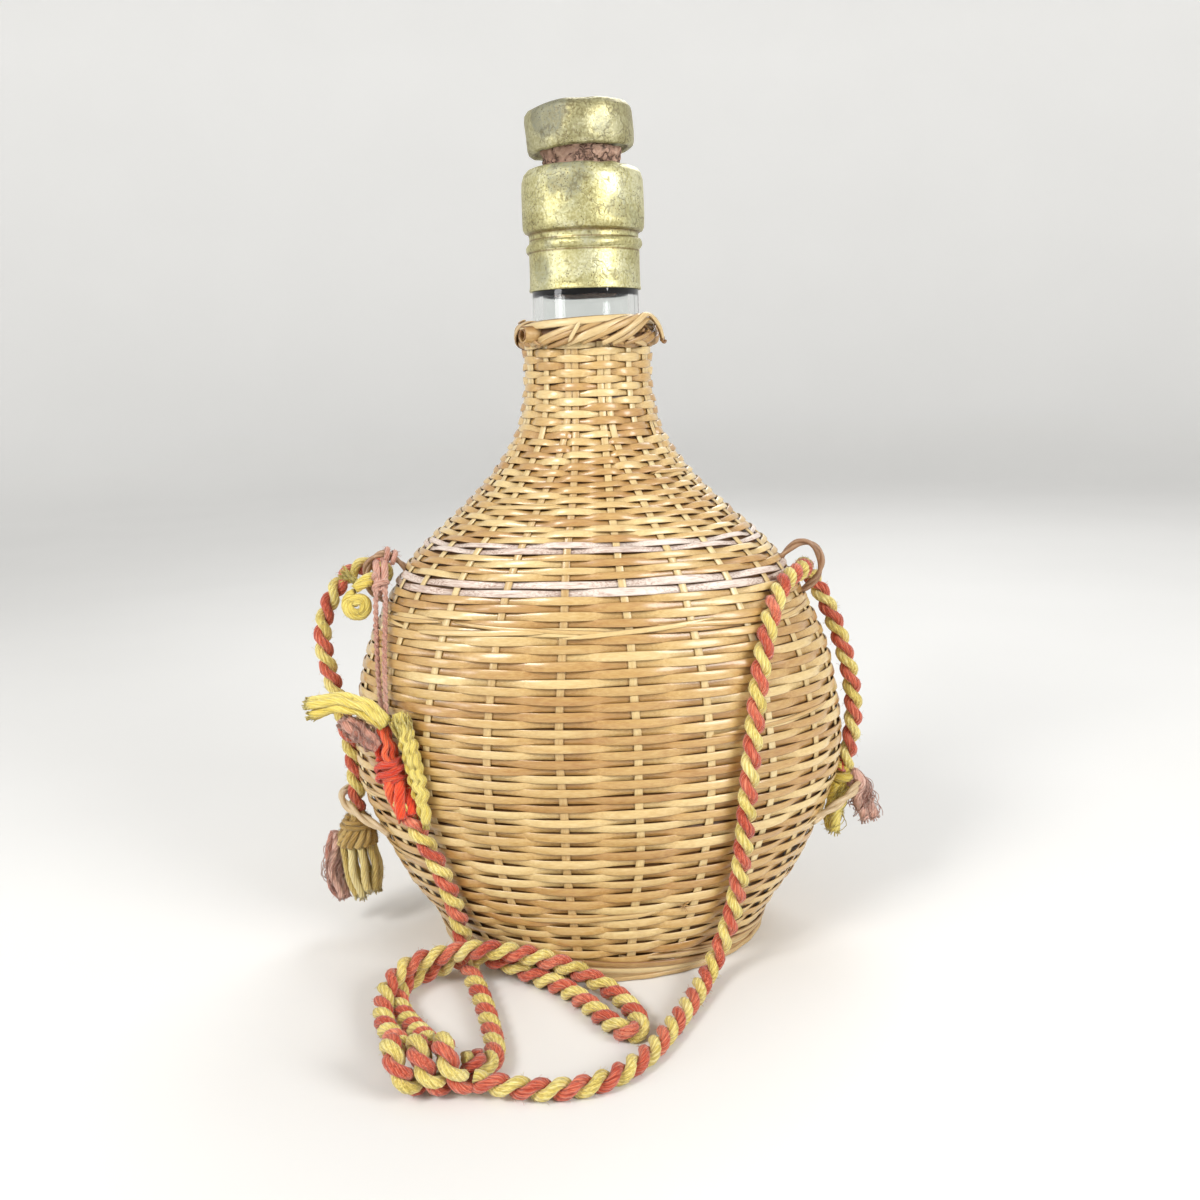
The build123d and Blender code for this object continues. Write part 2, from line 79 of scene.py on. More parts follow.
# The basket, with the same sizes and shares as the source
FOOT_HALF = (49.0 * MM, 42.5 * MM)
BELLY_HALF = (73.5 * MM, 47.5 * MM)
BELLY_HEIGHT = 60 * MM
NECK_RADIUS = 18.3 * MM
NECK_START = 165 * MM
NECK_TOP = 175.5 * MM
STAKES = 22
FLANK_SHARES = [
    (0.0, 0.0, 0.0), (0.07, 0.016, 0.1), (0.2, 0.2, 0.35), (0.333, 0.437, 0.55),
    (0.5, 0.645, 0.75), (0.667, 0.82, 0.9), (0.833, 0.96, 0.98), (1.0, 1.0, 1.0),
]
SHOULDER_SHARES = [
    (0.114, 0.975, 0.99), (0.238, 0.928, 0.95), (0.333, 0.86, 0.9), (0.429, 0.763, 0.83),
    (0.495, 0.69, 0.765), (0.571, 0.565, 0.67), (0.648, 0.399, 0.54), (0.724, 0.25, 0.39),
    (0.8, 0.132, 0.235), (0.876, 0.047, 0.1), (0.952, 0.012, 0.03), (1.0, 0.0, 0.0),
]
# Each course's bottom and top and the pitch of its rows, in millimetres, and a strip's width behind a stake
# and in front of one, in pitches
COURSES = {
    "wicker_lower_wall": (6.0, 46.0, 2.07, 0.9, 1.19),
    "wicker_belly_wall": (46.0, 106.5, 2.07, 0.93, 1.15),
    "bark_band_lower": (106.5, 111.0, 2.07, 0.8, 0.92),
    "wicker_band_between": (111.0, 117.5, 2.07, 0.95, 1.12),
    "bark_band_upper": (117.5, 120.5, 1.6, 0.84, 0.98),
    "wicker_shoulder_wall": (120.5, 152.0, 2.05, 0.96, 1.1),
    "wicker_neck_wall": (152.0, 176.3, 1.83, 0.82, 1.24),
}

# The weave
STRIP_THICKNESS = 0.3 * MM
WEAVE_REACH = 0.6 * MM
STAKE_WIDTH = 2.5 * MM
STAKE_NECK_WIDTH = 1.9 * MM
STAKE_THICKNESS = 0.34 * MM
STAKE_DEPTH = 0.5 * MM

# The stakes stand evenly round the belly and gather into posts of one or two on the neck
NECK_POSTS = (2, 1, 2, 1, 2, 2, 1, 2, 1, 2, 1, 2, 1, 2)
GATHER_FROM, GATHER_TO = 130 * MM, 160 * MM
PAIR_GAP = 0.37
STAKE_WANDER = 0.06
WANDER_SCALE = 26 * MM

# The strap
STRAP_DIAMETER = 6.0 * MM
STRAP_LAY = 10.0 * MM
SLACK_SHARE = 0.91
STRAP_FIBRES_A_MM = 2.6
STRING_DIAMETER = 1.7 * MM
STRING_LAY = 4.0 * MM
YARN_RIBS = 8

# The grain on strips and yarns: how far apart tones lie in the noise, and how much finer its second layer
TONES_APART = 31.0
FINE_GRAIN = (1.6, 3.7, 1.0)


# Scene: camera, lamps, floor

def set_camera():
    data = bpy.data.cameras.new("camera")
    data.lens = data.sensor_width = FRAME_WIDTH
    data.shift_x = OBJECT_LEFT_BY / PHOTO_SIDE
    camera = bpy.data.objects.new("camera", data)
    camera.matrix_world = (
        Matrix.Translation(CAMERA_PLACE)
        @ Matrix.Rotation(math.pi / 2 - CAMERA_PITCH, 4, "X")
        @ Matrix.Rotation(-CAMERA_ROLL, 4, "Z")
    )
    scene.collection.objects.link(camera)
    scene.camera = camera


def set_lamps():
    for name, (place, size, power, colour) in LAMPS.items():
        data = bpy.data.lights.new(name, "AREA")
        data.shape, data.size, data.energy, data.color = "DISK", size, power, colour
        lamp = bpy.data.objects.new(name, data)
        lamp.location = place
        lamp.rotation_euler = (Vector(LAMPS_AIM) - Vector(place)).to_track_quat("-Z", "Y").to_euler()
        scene.collection.objects.link(lamp)


def set_world():
    """Even light from all round, a little brighter where the camera, metal or glass shows it."""
    world = bpy.data.worlds.new("studio")
    world.use_nodes = True
    scene.world = world
    tree = world.node_tree
    tree.nodes.clear()
    seen = shown_rays(tree, put(tree, "LightPath"))
    strength = calc(tree, "MULTIPLY_ADD", seen, SKY_SEEN_MORE, SKY_LIGHT)
    back = put(tree, "Background", Color=SKY_COLOUR, Strength=strength)
    put(tree, "OutputWorld", Surface=back.outputs[0])


def set_floor():
    """A round floor that runs up into a backdrop on all sides."""
    bm = bmesh.new()
    spin_outline(bm, [bm.verts.new((radius, 0, height)) for radius, height in BACKDROP], BACKDROP_STEPS)
    mesh = bpy.data.meshes.new("floor")
    bm.to_mesh(mesh)
    bm.free()
    floor = bpy.data.objects.new("floor", mesh)
    scene.collection.objects.link(floor)
    mesh.materials.append(plain_floor())


# Shader nodes

def put(tree, kind, settings=None, **sockets):
    node = tree.nodes.new("NodeGroup" if kind == "NodeGroup" else "ShaderNode" + kind)
    for name, value in (settings or {}).items():
        setattr(node, name, value)
    for name, value in sockets.items():
        feed(tree, node.inputs[name.replace("_", " ")], value)
    return node


def feed(tree, socket, value):
    if isinstance(value, bpy.types.NodeSocket):
        tree.links.new(value, socket)
    else:
        socket.default_value = value


def calc(tree, operation, *values):
    node = tree.nodes.new("ShaderNodeMath")
    node.operation = operation
    for socket, value in zip(node.inputs, values):
        feed(tree, socket, value)
    return node.outputs[0]


def ramp(tree, value, stops):
    """stops are (place, colour)."""
    node = tree.nodes.new("ShaderNodeValToRGB")
    elements = node.color_ramp.elements
    while len(elements) < len(stops):
        elements.new(0.5)
    for element, (place, colour) in zip(elements, stops):
        element.position, element.color = place, colour
    tree.links.new(value, node.inputs["Fac"])
    return node.outputs["Color"]


def mix(tree, amount, first, second):
    node = tree.nodes.new("ShaderNodeMix")
    node.data_type = "RGBA"
    feed(tree, node.inputs[0], amount)
    feed(tree, node.inputs[6], first)
    feed(tree, node.inputs[7], second)
    return node.outputs[2]


def object_place(tree):
    return put(tree, "TexCoord").outputs["Object"]


def lay_across(tree):
    """The share of a turn round a strip's or strand's own section."""
    return put(tree, "SeparateXYZ", Vector=put(tree, "UVMap", {"uv_map": "lay"}).outputs[0]).outputs[1]


def shown_rays(tree, path):
    """1 for rays that show a background: the camera's, and those off metal and through glass."""
    seen = calc(tree, "MAXIMUM", path.outputs["Is Camera Ray"], path.outputs["Is Glossy Ray"])
    return calc(tree, "MAXIMUM", seen, path.outputs["Is Transmission Ray"])


def srgb(red, green, blue):
    """The linear colour of 0 to 255 screen values."""
    def linear(value):
        value /= 255
        return ((value + 0.055) / 1.055) ** 2.4 if value > 0.04045 else value / 12.92
    return linear(red), linear(green), linear(blue), 1.0


def new_group(name, inputs, outputs):
    """A node group whose sockets are all numbers. inputs are (label, default)."""
    tree = bpy.data.node_groups.new(name, "ShaderNodeTree")
    for label, default in inputs:
        socket = tree.interface.new_socket(label, in_out="INPUT", socket_type="NodeSocketFloat")
        socket.default_value = default
    for label in outputs:
        tree.interface.new_socket(label, in_out="OUTPUT", socket_type="NodeSocketFloat")
    return tree, tree.nodes.new("NodeGroupInput"), tree.nodes.new("NodeGroupOutput")


def use_group(tree, group, **values):
    node = tree.nodes.new("ShaderNodeGroup")
    node.node_tree = group
    for name, value in values.items():
        feed(tree, node.inputs[name.replace("_", " ")], value)
    return node


def lay_point(tree, along, across, tone):
    """The piece's own lay: centimetres along, turns across, and a third part that sets tones apart."""
    parts = put(tree, "SeparateXYZ", Vector=put(tree, "UVMap", {"uv_map": "lay"}).outputs[0])
    return put(
        tree, "CombineXYZ", X=calc(tree, "MULTIPLY", parts.outputs[0], along),
        Y=calc(tree, "MULTIPLY", parts.outputs[1], across), Z=calc(tree, "MULTIPLY", tone, TONES_APART),
    ).outputs[0]


def make_grain_group():
    """Streaks that run with a strip, rod or fibre. Tone is the strip's own; on woven rows it also carries
    painted shade where the strip dives behind a post.
    """
    tree, given, out = new_group(
        "grain", [("Along", 1.0), ("Across", 10.0), ("Rough", 0.6)], ["Tone", "Streak", "Height"]
    )
    tone = put(tree, "Attribute", {"attribute_name": "tone"}).outputs["Fac"]
    point = lay_point(tree, given.outputs["Along"], given.outputs["Across"], tone)
    streak = put(tree, "TexNoise", Vector=point, Scale=1.0, Detail=4.0, Roughness=given.outputs["Rough"])
    fine_point = put(tree, "VectorMath", {"operation": "MULTIPLY"})
    tree.links.new(point, fine_point.inputs[0])
    fine_point.inputs[1].default_value = FINE_GRAIN
    fine = put(tree, "TexNoise", Vector=fine_point.outputs[0], Scale=1.0, Detail=2.0)
    height = calc(tree, "MULTIPLY_ADD", fine.outputs[0], 0.5, streak.outputs[0])
    tree.links.new(tone, out.inputs["Tone"])
    tree.links.new(streak.outputs[0], out.inputs["Streak"])
    tree.links.new(height, out.inputs["Height"])
    return tree


def make_mottle_group():
    """Soft-edged patches on Object coordinates, as of tarnish, dust or stain."""
    tree, given, out = new_group(
        "mottle", [("Scale", 60.0), ("From", 0.5), ("To", 0.65), ("Warp", 0.4)], ["Patch", "Height"]
    )
    noise_node = put(
        tree, "TexNoise", Vector=object_place(tree), Scale=given.outputs["Scale"], Detail=6.0,
        Roughness=0.62, Distortion=given.outputs["Warp"],
    )
    patch = put(
        tree, "MapRange", {"interpolation_type": "SMOOTHSTEP"}, Value=noise_node.outputs[0],
        From_Min=given.outputs["From"], From_Max=given.outputs["To"],
    )
    tree.links.new(patch.outputs[0], out.inputs["Patch"])
    tree.links.new(noise_node.outputs[0], out.inputs["Height"])
    return tree


def make_pit_group():
    """Small pits and flecks, scattered on Object coordinates."""
    tree, given, out = new_group("pits", [("Scale", 700.0), ("Size", 0.25)], ["Pit"])
    place = object_place(tree)
    cells = put(
        tree, "TexVoronoi", {"feature": "F1"}, Vector=place, Scale=given.outputs["Scale"], Randomness=1.0
    )
    chance = put(tree, "TexNoise", Vector=place, Scale=160.0, Detail=3.0)
    reach = calc(tree, "MULTIPLY", given.outputs["Size"], calc(tree, "SUBTRACT", chance.outputs[0], 0.25))
    pit = put(
        tree, "MapRange", {"interpolation_type": "SMOOTHSTEP"}, Value=cells.outputs["Distance"],
        From_Min=calc(tree, "MULTIPLY", reach, 1.6), From_Max=reach,
    )
    tree.links.new(pit.outputs[0], out.inputs["Pit"])
    return tree


def make_crack_group():
    """Thin, wandering lines on Object coordinates, as of scratches or cracks. Line is 1 in a line."""
    tree, given, out = new_group(
        "cracks", [("Scale", 200.0), ("Width", 0.03), ("Chance", 0.5), ("Warp", 0.004)], ["Line"]
    )
    place = object_place(tree)
    bend = put(tree, "TexNoise", Vector=place, Scale=given.outputs["Scale"], Detail=3.0)
    push = put(tree, "VectorMath", {"operation": "SCALE"}, Scale=given.outputs["Warp"])
    tree.links.new(bend.outputs["Color"], push.inputs[0])
    moved = put(tree, "VectorMath", {"operation": "ADD"})
    tree.links.new(place, moved.inputs[0])
    tree.links.new(push.outputs[0], moved.inputs[1])
    cells = put(
        tree, "TexVoronoi", {"feature": "DISTANCE_TO_EDGE"}, Vector=moved.outputs[0],
        Scale=given.outputs["Scale"], Randomness=1.0,
    )
    line = put(
        tree, "MapRange", Value=cells.outputs["Distance"], From_Min=given.outputs["Width"], From_Max=0.0
    )
    broader = calc(tree, "MULTIPLY", given.outputs["Scale"], 0.6)
    chance = put(tree, "TexNoise", Vector=place, Scale=broader, Detail=2.0)
    kept = put(
        tree, "MapRange", {"interpolation_type": "SMOOTHSTEP"}, Value=chance.outputs[0],
        From_Min=given.outputs["Chance"], From_Max=calc(tree, "ADD", given.outputs["Chance"], 0.08),
    )
    tree.links.new(calc(tree, "MULTIPLY", line.outputs[0], kept.outputs[0]), out.inputs["Line"])
    return tree


# On a woven strip the lay's turn runs round the strip's section: the outer face lies about its middle
STRIP_FACE_MIDDLE, STRIP_FACE_HALF = 0.3, 0.2
# Painted shade along the edges of strips, where they meet their neighbours
EDGE_SHADE_BROWN = srgb(120, 76, 34)
DUST_GREY = srgb(84, 90, 92)
# Painted shade in the grooves of the gilt capsule
GROOVE_SHADE_BROWN = srgb(104, 74, 34)
MARK_BROWN = srgb(72, 58, 34)
CRACK_BROWN = srgb(70, 50, 42)
CORK_COLOURS = [(0.3, srgb(140, 108, 94)), (0.5, srgb(182, 146, 128)), (0.7, srgb(208, 176, 156))]
CAPSULE_HEM_LOW, CAPSULE_HEM_HIGH = (189.3 * MM, 189.7 * MM), (192.4 * MM, 193.0 * MM)
HEM_SHADE = (0.02, 0.02, 0.025, 1)


def new_material(name):
    material = bpy.data.materials.new(name)
    material.use_nodes = True
    tree = material.node_tree
    tree.nodes.clear()
    shader = put(tree, "BsdfPrincipled")
    put(tree, "OutputMaterial", Surface=shader.outputs[0])
    return material, tree, shader


def bump(tree, shader, height, strength, distance):
    node = put(tree, "Bump", Height=height, Strength=strength, Distance=distance)
    tree.links.new(node.outputs[0], shader.inputs["Normal"])


def plain_floor():
    """Pale paper: its backdrop glows where it is seen, and less in metal on the camera's side."""
    material, tree, shader = new_material("plain_floor")
    place = object_place(tree)
    shade = put(tree, "TexNoise", Vector=place, Scale=6.0, Detail=2.0)
    colour = ramp(
        tree, shade.outputs[0], [(0.0, (0.78, 0.775, 0.76, 1)), (1.0, (0.83, 0.825, 0.81, 1))]
    )
    feed(tree, shader.inputs["Base Color"], colour)
    shader.inputs["Roughness"].default_value = 0.9
    shader.inputs["Specular IOR Level"].default_value = 0.1
    away = put(tree, "VectorMath", {"operation": "LENGTH"})
    tree.links.new(place, away.inputs[0])
    far = put(tree, "MapRange", Value=away.outputs["Value"], From_Min=0.7, From_Max=2.3, To_Max=0.36)
    path = put(tree, "LightPath")
    seen = shown_rays(tree, path)
    shader.inputs["Emission Color"].default_value = (1.0, 0.995, 0.98, 1)
    depth = put(tree, "SeparateXYZ", Vector=place).outputs[1]
    front = put(tree, "MapRange", Value=depth, From_Min=-1.7, From_Max=-0.3, To_Min=0.25)
    less = calc(tree, "SUBTRACT", front.outputs[0], 1.0)
    dim = calc(tree, "MULTIPLY_ADD", path.outputs["Is Glossy Ray"], less, 1.0)
    glow = calc(tree, "MULTIPLY", calc(tree, "MULTIPLY", far.outputs[0], seen), dim)
    feed(tree, shader.inputs["Emission Strength"], glow)
    return material


def cane(name, dark, middle, light, gloss, along=3.0, across=9.0, stain=None, streaks=0.4, tones=0.4,
         stained=0.18, places=(0.15, 0.45, 0.8), edge_shade=0.0):
    """Peeled, varnished willow or cane: streaked with the lay, each strip of its own tone.

    places are where the three colours sit on the shade; stained says how strong stains are; the edge argument
    says how strong the painted shade is along a strip's edges, where it meets its neighbours.
    """
    material, tree, shader = new_material(name)
    grain = use_group(tree, groups["grain"], Along=along, Across=across)
    mottle = use_group(tree, groups["mottle"], Scale=55.0, From=0.56, To=0.78)
    fine = calc(tree, "SUBTRACT", grain.outputs["Height"], grain.outputs["Streak"])
    shade = calc(tree, "MULTIPLY_ADD", grain.outputs["Streak"], streaks, -0.08)
    shade = calc(tree, "MULTIPLY_ADD", grain.outputs["Tone"], tones, shade)
    shade = calc(tree, "MULTIPLY_ADD", fine, 0.6, shade)
    colour = ramp(tree, shade, list(zip(places, (dark, middle, light))))
    colour = mix(tree, calc(tree, "MULTIPLY", mottle.outputs["Patch"], stained), colour, stain or dark)
    # Painted shade along the strip's edges, where it meets its neighbours
    if edge_shade:
        off = calc(tree, "ABSOLUTE", calc(tree, "SUBTRACT", lay_across(tree), STRIP_FACE_MIDDLE))
        edge = put(
            tree, "MapRange", Value=off, From_Min=STRIP_FACE_HALF - 0.06, From_Max=STRIP_FACE_HALF + 0.02
        )
        colour = mix(tree, calc(tree, "MULTIPLY", edge.outputs[0], edge_shade), colour, EDGE_SHADE_BROWN)
    feed(tree, shader.inputs["Base Color"], colour)
    rough = calc(tree, "MULTIPLY_ADD", grain.outputs["Streak"], 0.3, 0.3)
    feed(tree, shader.inputs["Roughness"], rough)
    shader.inputs["Coat Weight"].default_value = gloss
    shader.inputs["Coat Roughness"].default_value = 0.2
    bump(tree, shader, grain.outputs["Height"], 0.4, 0.2 * MM)
    return material


def yarn(name, dark, middle, light):
    """Spun yarn: fine fibres along its ribs, painted shade in the grooves between the ribs, and patches of
    dirt.
    """
    material, tree, shader = new_material(name)
    grain = use_group(tree, groups["grain"], Along=2.2, Across=42.0, Rough=0.7)
    mottle = use_group(tree, groups["mottle"], Scale=90.0, From=0.48, To=0.7)
    shade = calc(tree, "MULTIPLY_ADD", grain.outputs["Tone"], 0.22, grain.outputs["Streak"])
    colour = ramp(tree, shade, [(0.42, dark), (0.58, middle), (0.76, light)])
    # Painted shade in the grooves between the ribs
    rib = calc(tree, "COSINE", calc(tree, "MULTIPLY", lay_across(tree), TAU * YARN_RIBS))
    groove_shade = put(tree, "MapRange", Value=rib, From_Min=0.1, From_Max=-1.0)
    colour = mix(tree, calc(tree, "MULTIPLY", groove_shade.outputs[0], 0.38), colour, dark)
    colour = mix(tree, calc(tree, "MULTIPLY", mottle.outputs["Patch"], 0.25), colour, dark)
    feed(tree, shader.inputs["Base Color"], colour)
    shader.inputs["Roughness"].default_value = 0.7
    shader.inputs["Sheen Weight"].default_value = 0.4
    shader.inputs["Sheen Roughness"].default_value = 0.4
    shader.inputs["Specular IOR Level"].default_value = 0.3
    height = calc(tree, "MULTIPLY_ADD", rib, 0.2, grain.outputs["Height"])
    bump(tree, shader, height, 0.9, 0.3 * MM)
    return material


def blemish(tree, centre, reach):
    """1 inside a ragged patch about a point in millimetres, 0 outside."""
    ragged = 0.6
    place = object_place(tree)
    away = put(tree, "VectorMath", {"operation": "DISTANCE"})
    tree.links.new(place, away.inputs[0])
    away.inputs[1].default_value = [c * MM for c in centre]
    wander = put(tree, "TexNoise", Vector=place, Scale=260.0, Detail=4.0)
    edge = calc(tree, "MULTIPLY_ADD", wander.outputs[0], ragged * 2, 1 - ragged)
    span = calc(tree, "DIVIDE", away.outputs["Value"], calc(tree, "MULTIPLY", edge, reach * MM))
    return put(
        tree, "MapRange", {"interpolation_type": "SMOOTHSTEP"}, Value=span, From_Min=1.1, From_Max=0.7
    ).outputs[0]


def gilt(name, dark, middle, light, tarnish, spots, groove_shades=()):
    """Gold paint or foil: satin, clouded with tarnish, spotted, crinkled and finely scratched.

    spots are (centre, reach, strength), and the groove argument gives lines of painted shade in grooves as
    (height, half width), in millimetres.
    """
    metal, rough = 0.66, 0.4
    material, tree, shader = new_material(name)
    mottle = use_group(tree, groups["mottle"], Scale=110.0, From=0.38, To=0.7)
    broad = use_group(tree, groups["mottle"], Scale=42.0, From=0.5, To=0.72, Warp=1.2)
    wrinkles = use_group(tree, groups["cracks"], Scale=330.0, Width=0.1, Chance=0.52, Warp=0.004)
    scratches = use_group(tree, groups["cracks"], Scale=120.0, Width=0.03, Chance=0.5, Warp=0.012)
    pits = use_group(tree, groups["pits"], Scale=1300.0, Size=0.5)
    fine = put(tree, "TexNoise", Vector=object_place(tree), Scale=1400.0, Detail=3.0)
    speck = calc(tree, "MULTIPLY", fine.outputs[0], 0.7)
    shade = calc(tree, "MULTIPLY_ADD", mottle.outputs["Patch"], 0.26, speck)
    colour = ramp(tree, shade, [(0.2, dark), (0.42, middle), (0.72, light)])
    colour = mix(tree, calc(tree, "MULTIPLY", broad.outputs["Patch"], 0.4), colour, tarnish)
    spot = 0.0
    for centre, reach, strength in spots:
        patch = calc(tree, "MULTIPLY", blemish(tree, centre, reach), strength)
        spot = patch if spot == 0.0 else calc(tree, "MAXIMUM", spot, patch)
    speckled = calc(tree, "MULTIPLY", spot, calc(tree, "MULTIPLY_ADD", fine.outputs[0], 1.6, 0.1))
    spot = calc(tree, "MINIMUM", speckled, 1.0)
    colour = mix(tree, spot, colour, DUST_GREY)
    rise = put(tree, "SeparateXYZ", Vector=object_place(tree)).outputs[2]
    # Painted shade in the grooves under the collar and round the bead
    for height, half in groove_shades:
        off = calc(tree, "ABSOLUTE", calc(tree, "SUBTRACT", rise, height * MM))
        line = put(tree, "MapRange", Value=off, From_Min=half * MM, From_Max=0.0)
        colour = mix(tree, calc(tree, "MULTIPLY", line.outputs[0], 0.75), colour, GROOVE_SHADE_BROWN)
    lines = calc(tree, "MAXIMUM", wrinkles.outputs["Line"], scratches.outputs["Line"])
    pitted = calc(tree, "MULTIPLY", pits.outputs["Pit"], 0.7)
    marks = calc(tree, "MAXIMUM", pitted, calc(tree, "MULTIPLY", lines, 0.5))
    colour = mix(tree, marks, colour, MARK_BROWN)
    feed(tree, shader.inputs["Base Color"], colour)
    dull = calc(tree, "MAXIMUM", marks, calc(tree, "MULTIPLY", broad.outputs["Patch"], 0.35))
    dull = calc(tree, "MAXIMUM", dull, spot)
    feed(tree, shader.inputs["Metallic"], calc(tree, "MULTIPLY_ADD", dull, -0.6 * metal, metal))
    sheen = calc(tree, "MULTIPLY_ADD", fine.outputs[0], 0.25, rough - 0.12)
    feed(tree, shader.inputs["Roughness"], calc(tree, "MULTIPLY_ADD", dull, 0.25, sheen))
    height = calc(tree, "MULTIPLY_ADD", marks, -0.6, fine.outputs[0])
    height = calc(tree, "MULTIPLY_ADD", mottle.outputs["Height"], 0.7, height)
    bump(tree, shader, height, 0.4, 0.25 * MM)
    return material


def crumbly_cork():
    """Old cork: rosy, cracked, split and pitted."""
    material, tree, shader = new_material("crumbly_cork")
    mottle = use_group(tree, groups["mottle"], Scale=260.0, From=0.4, To=0.66, Warp=0.8)
    cracks = use_group(tree, groups["cracks"], Scale=380.0, Width=0.13, Chance=0.54, Warp=0.005)
    splits = use_group(tree, groups["cracks"], Scale=190.0, Width=0.08, Chance=0.46, Warp=0.01)
    pits = use_group(tree, groups["pits"], Scale=620.0, Size=0.5)
    colour = ramp(tree, mottle.outputs["Height"], CORK_COLOURS)
    dark = calc(tree, "MAXIMUM", cracks.outputs["Line"], pits.outputs["Pit"])
    dark = calc(tree, "MAXIMUM", dark, splits.outputs["Line"])
    colour = mix(tree, calc(tree, "MULTIPLY", dark, 0.8), colour, CRACK_BROWN)
    feed(tree, shader.inputs["Base Color"], colour)
    shader.inputs["Roughness"].default_value = 0.85
    height = calc(tree, "MULTIPLY_ADD", dark, -1.0, mottle.outputs["Height"])
    bump(tree, shader, height, 0.9, 0.6 * MM)
    return material


def clear_glass():
    """Clear, faintly smeared glass, dark round the neck where the capsule's hem shades it."""
    material, tree, shader = new_material("clear_glass")
    smear = use_group(tree, groups["mottle"], Scale=120.0, From=0.5, To=0.8)
    clear = ramp(
        tree, smear.outputs["Patch"], [(0.0, (0.93, 0.95, 0.94, 1)), (1.0, (0.86, 0.89, 0.88, 1))]
    )
    rise = put(tree, "SeparateXYZ", Vector=object_place(tree)).outputs[2]
    ragged = calc(tree, "MULTIPLY_ADD", smear.outputs["Height"], MM, rise)
    above = put(
        tree, "MapRange", Value=ragged, From_Min=CAPSULE_HEM_LOW[0], From_Max=CAPSULE_HEM_LOW[1]
    )
    below = put(
        tree, "MapRange", Value=ragged, From_Min=CAPSULE_HEM_HIGH[1], From_Max=CAPSULE_HEM_HIGH[0]
    )
    dark = calc(tree, "MULTIPLY", above.outputs[0], below.outputs[0])
    feed(tree, shader.inputs["Base Color"], mix(tree, dark, clear, HEM_SHADE))
    feed(tree, shader.inputs["Roughness"], calc(tree, "MULTIPLY", smear.outputs["Patch"], 0.06))
    shader.inputs["Transmission Weight"].default_value = 1.0
    shader.inputs["IOR"].default_value = 1.5
    return material


# Meshes

def new_mesh():
    bm = bmesh.new()
    bm.loops.layers.uv.new("lay")
    bm.verts.layers.float.new("tone")
    return bm


def skin(bm, along, around, place, lengths, tone, finish=0):
    """A grid of faces with its corners where place(i, j) says, j running round.

    lengths are metres along at each i, tone is a number or tone(i), finish is the place of its material.
    """
    uv = bm.loops.layers.uv["lay"]
    shade = bm.verts.layers.float["tone"]
    grid = bmesh.ops.create_grid(bm, x_segments=along, y_segments=around, size=1.0)["verts"]
    seats = {}
    for vert in grid:
        i, j = round((vert.co.x + 1) / 2 * along), round((vert.co.y + 1) / 2 * around)
        seats[vert] = i, j
        vert[shade] = tone(i) if callable(tone) else tone
    for face in {face for vert in grid for face in vert.link_faces}:
        face.smooth = True
        face.material_index = finish
        for loop in face.loops:
            i, j = seats[loop.vert]
            loop[uv].uv = lengths[i] * 100, j / around
    for vert, (i, j) in seats.items():
        vert.co = place(i, j)


def travel(line):
    """Metres along the line at each of its points."""
    lengths = [0.0]
    for a, b in zip(line, line[1:]):
        lengths.append(lengths[-1] + (b - a).length)
    return lengths


def frames(line, side=None):
    """Two directions square to the line at each point, turning no more than the line does."""
    found = []
    across = side
    for k in range(len(line)):
        ahead = (line[min(k + 1, len(line) - 1)] - line[max(k - 1, 0)]).normalized()
        if across is None:
            across = ahead.orthogonal()
        across = (across - ahead * across.dot(ahead)).normalized()
        found.append((across, ahead.cross(across)))
    return found


def tube(bm, line, radius, sides, tone, flat=1.0, side=None, finish=0, closed_ends=True):
    """A tube along the line. radius is a number or radius(share), flat is its depth over its width.

    side is the direction of its width; closed_ends are drawn together to a point.
    """
    square = frames(line, side)
    lengths = travel(line)
    total = lengths[-1] or 1.0
    extra = 1 if closed_ends else 0
    rings = [0] * extra + list(range(len(line))) + [len(line) - 1] * extra

    def place(i, j):
        k = rings[i]
        size = radius(lengths[k] / total) if callable(radius) else radius
        if closed_ends and i in (0, len(rings) - 1):
            size = 0.0
        turn = TAU * j / sides
        across, up = square[k]
        return line[k] + across * (math.cos(turn) * size) + up * (math.sin(turn) * size * flat)

    skin(bm, len(rings) - 1, sides, place, [lengths[k] for k in rings], tone, finish)


def tapered(start, more):
    """A radius along a tube: start in millimetres at its first end, and so much more at its last."""
    return lambda share: (start + more * share) * MM


def spin_outline(bm, verts, steps, cuts=0, closed=False):
    """Spins the outline through these points round the axis, and smooths what comes of it."""
    pairs = list(zip(verts, verts[1:]))
    if closed:
        pairs.append((verts[-1], verts[0]))
    edges = [bm.edges.new(pair) for pair in pairs]
    if cuts:
        bmesh.ops.subdivide_edges(bm, edges=edges, cuts=cuts)
    bmesh.ops.spin(
        bm, geom=bm.verts[:] + bm.edges[:], cent=(0, 0, 0), axis=(0, 0, 1), angle=TAU, steps=steps,
        use_merge=True,
    )
    bmesh.ops.remove_doubles(bm, verts=bm.verts, dist=WELD)
    for face in bm.faces:
        face.smooth = True


def make_piece(name, bm, finishes, slot, nodes=(), body="flask"):
    bmesh.ops.remove_doubles(bm, verts=bm.verts, dist=WELD)
    bmesh.ops.dissolve_degenerate(bm, dist=WELD, edges=bm.edges)
    bmesh.ops.recalc_face_normals(bm, faces=bm.faces)
    mesh = bpy.data.meshes.new(name)
    bm.to_mesh(mesh)
    bm.free()
    for finish in finishes:
        mesh.materials.append(finish)
    piece = bpy.data.objects.new("dressed_" + name, mesh)
    scene.collection.objects.link(piece)
    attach(piece, body)
    if nodes:
        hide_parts(*nodes)
    return piece


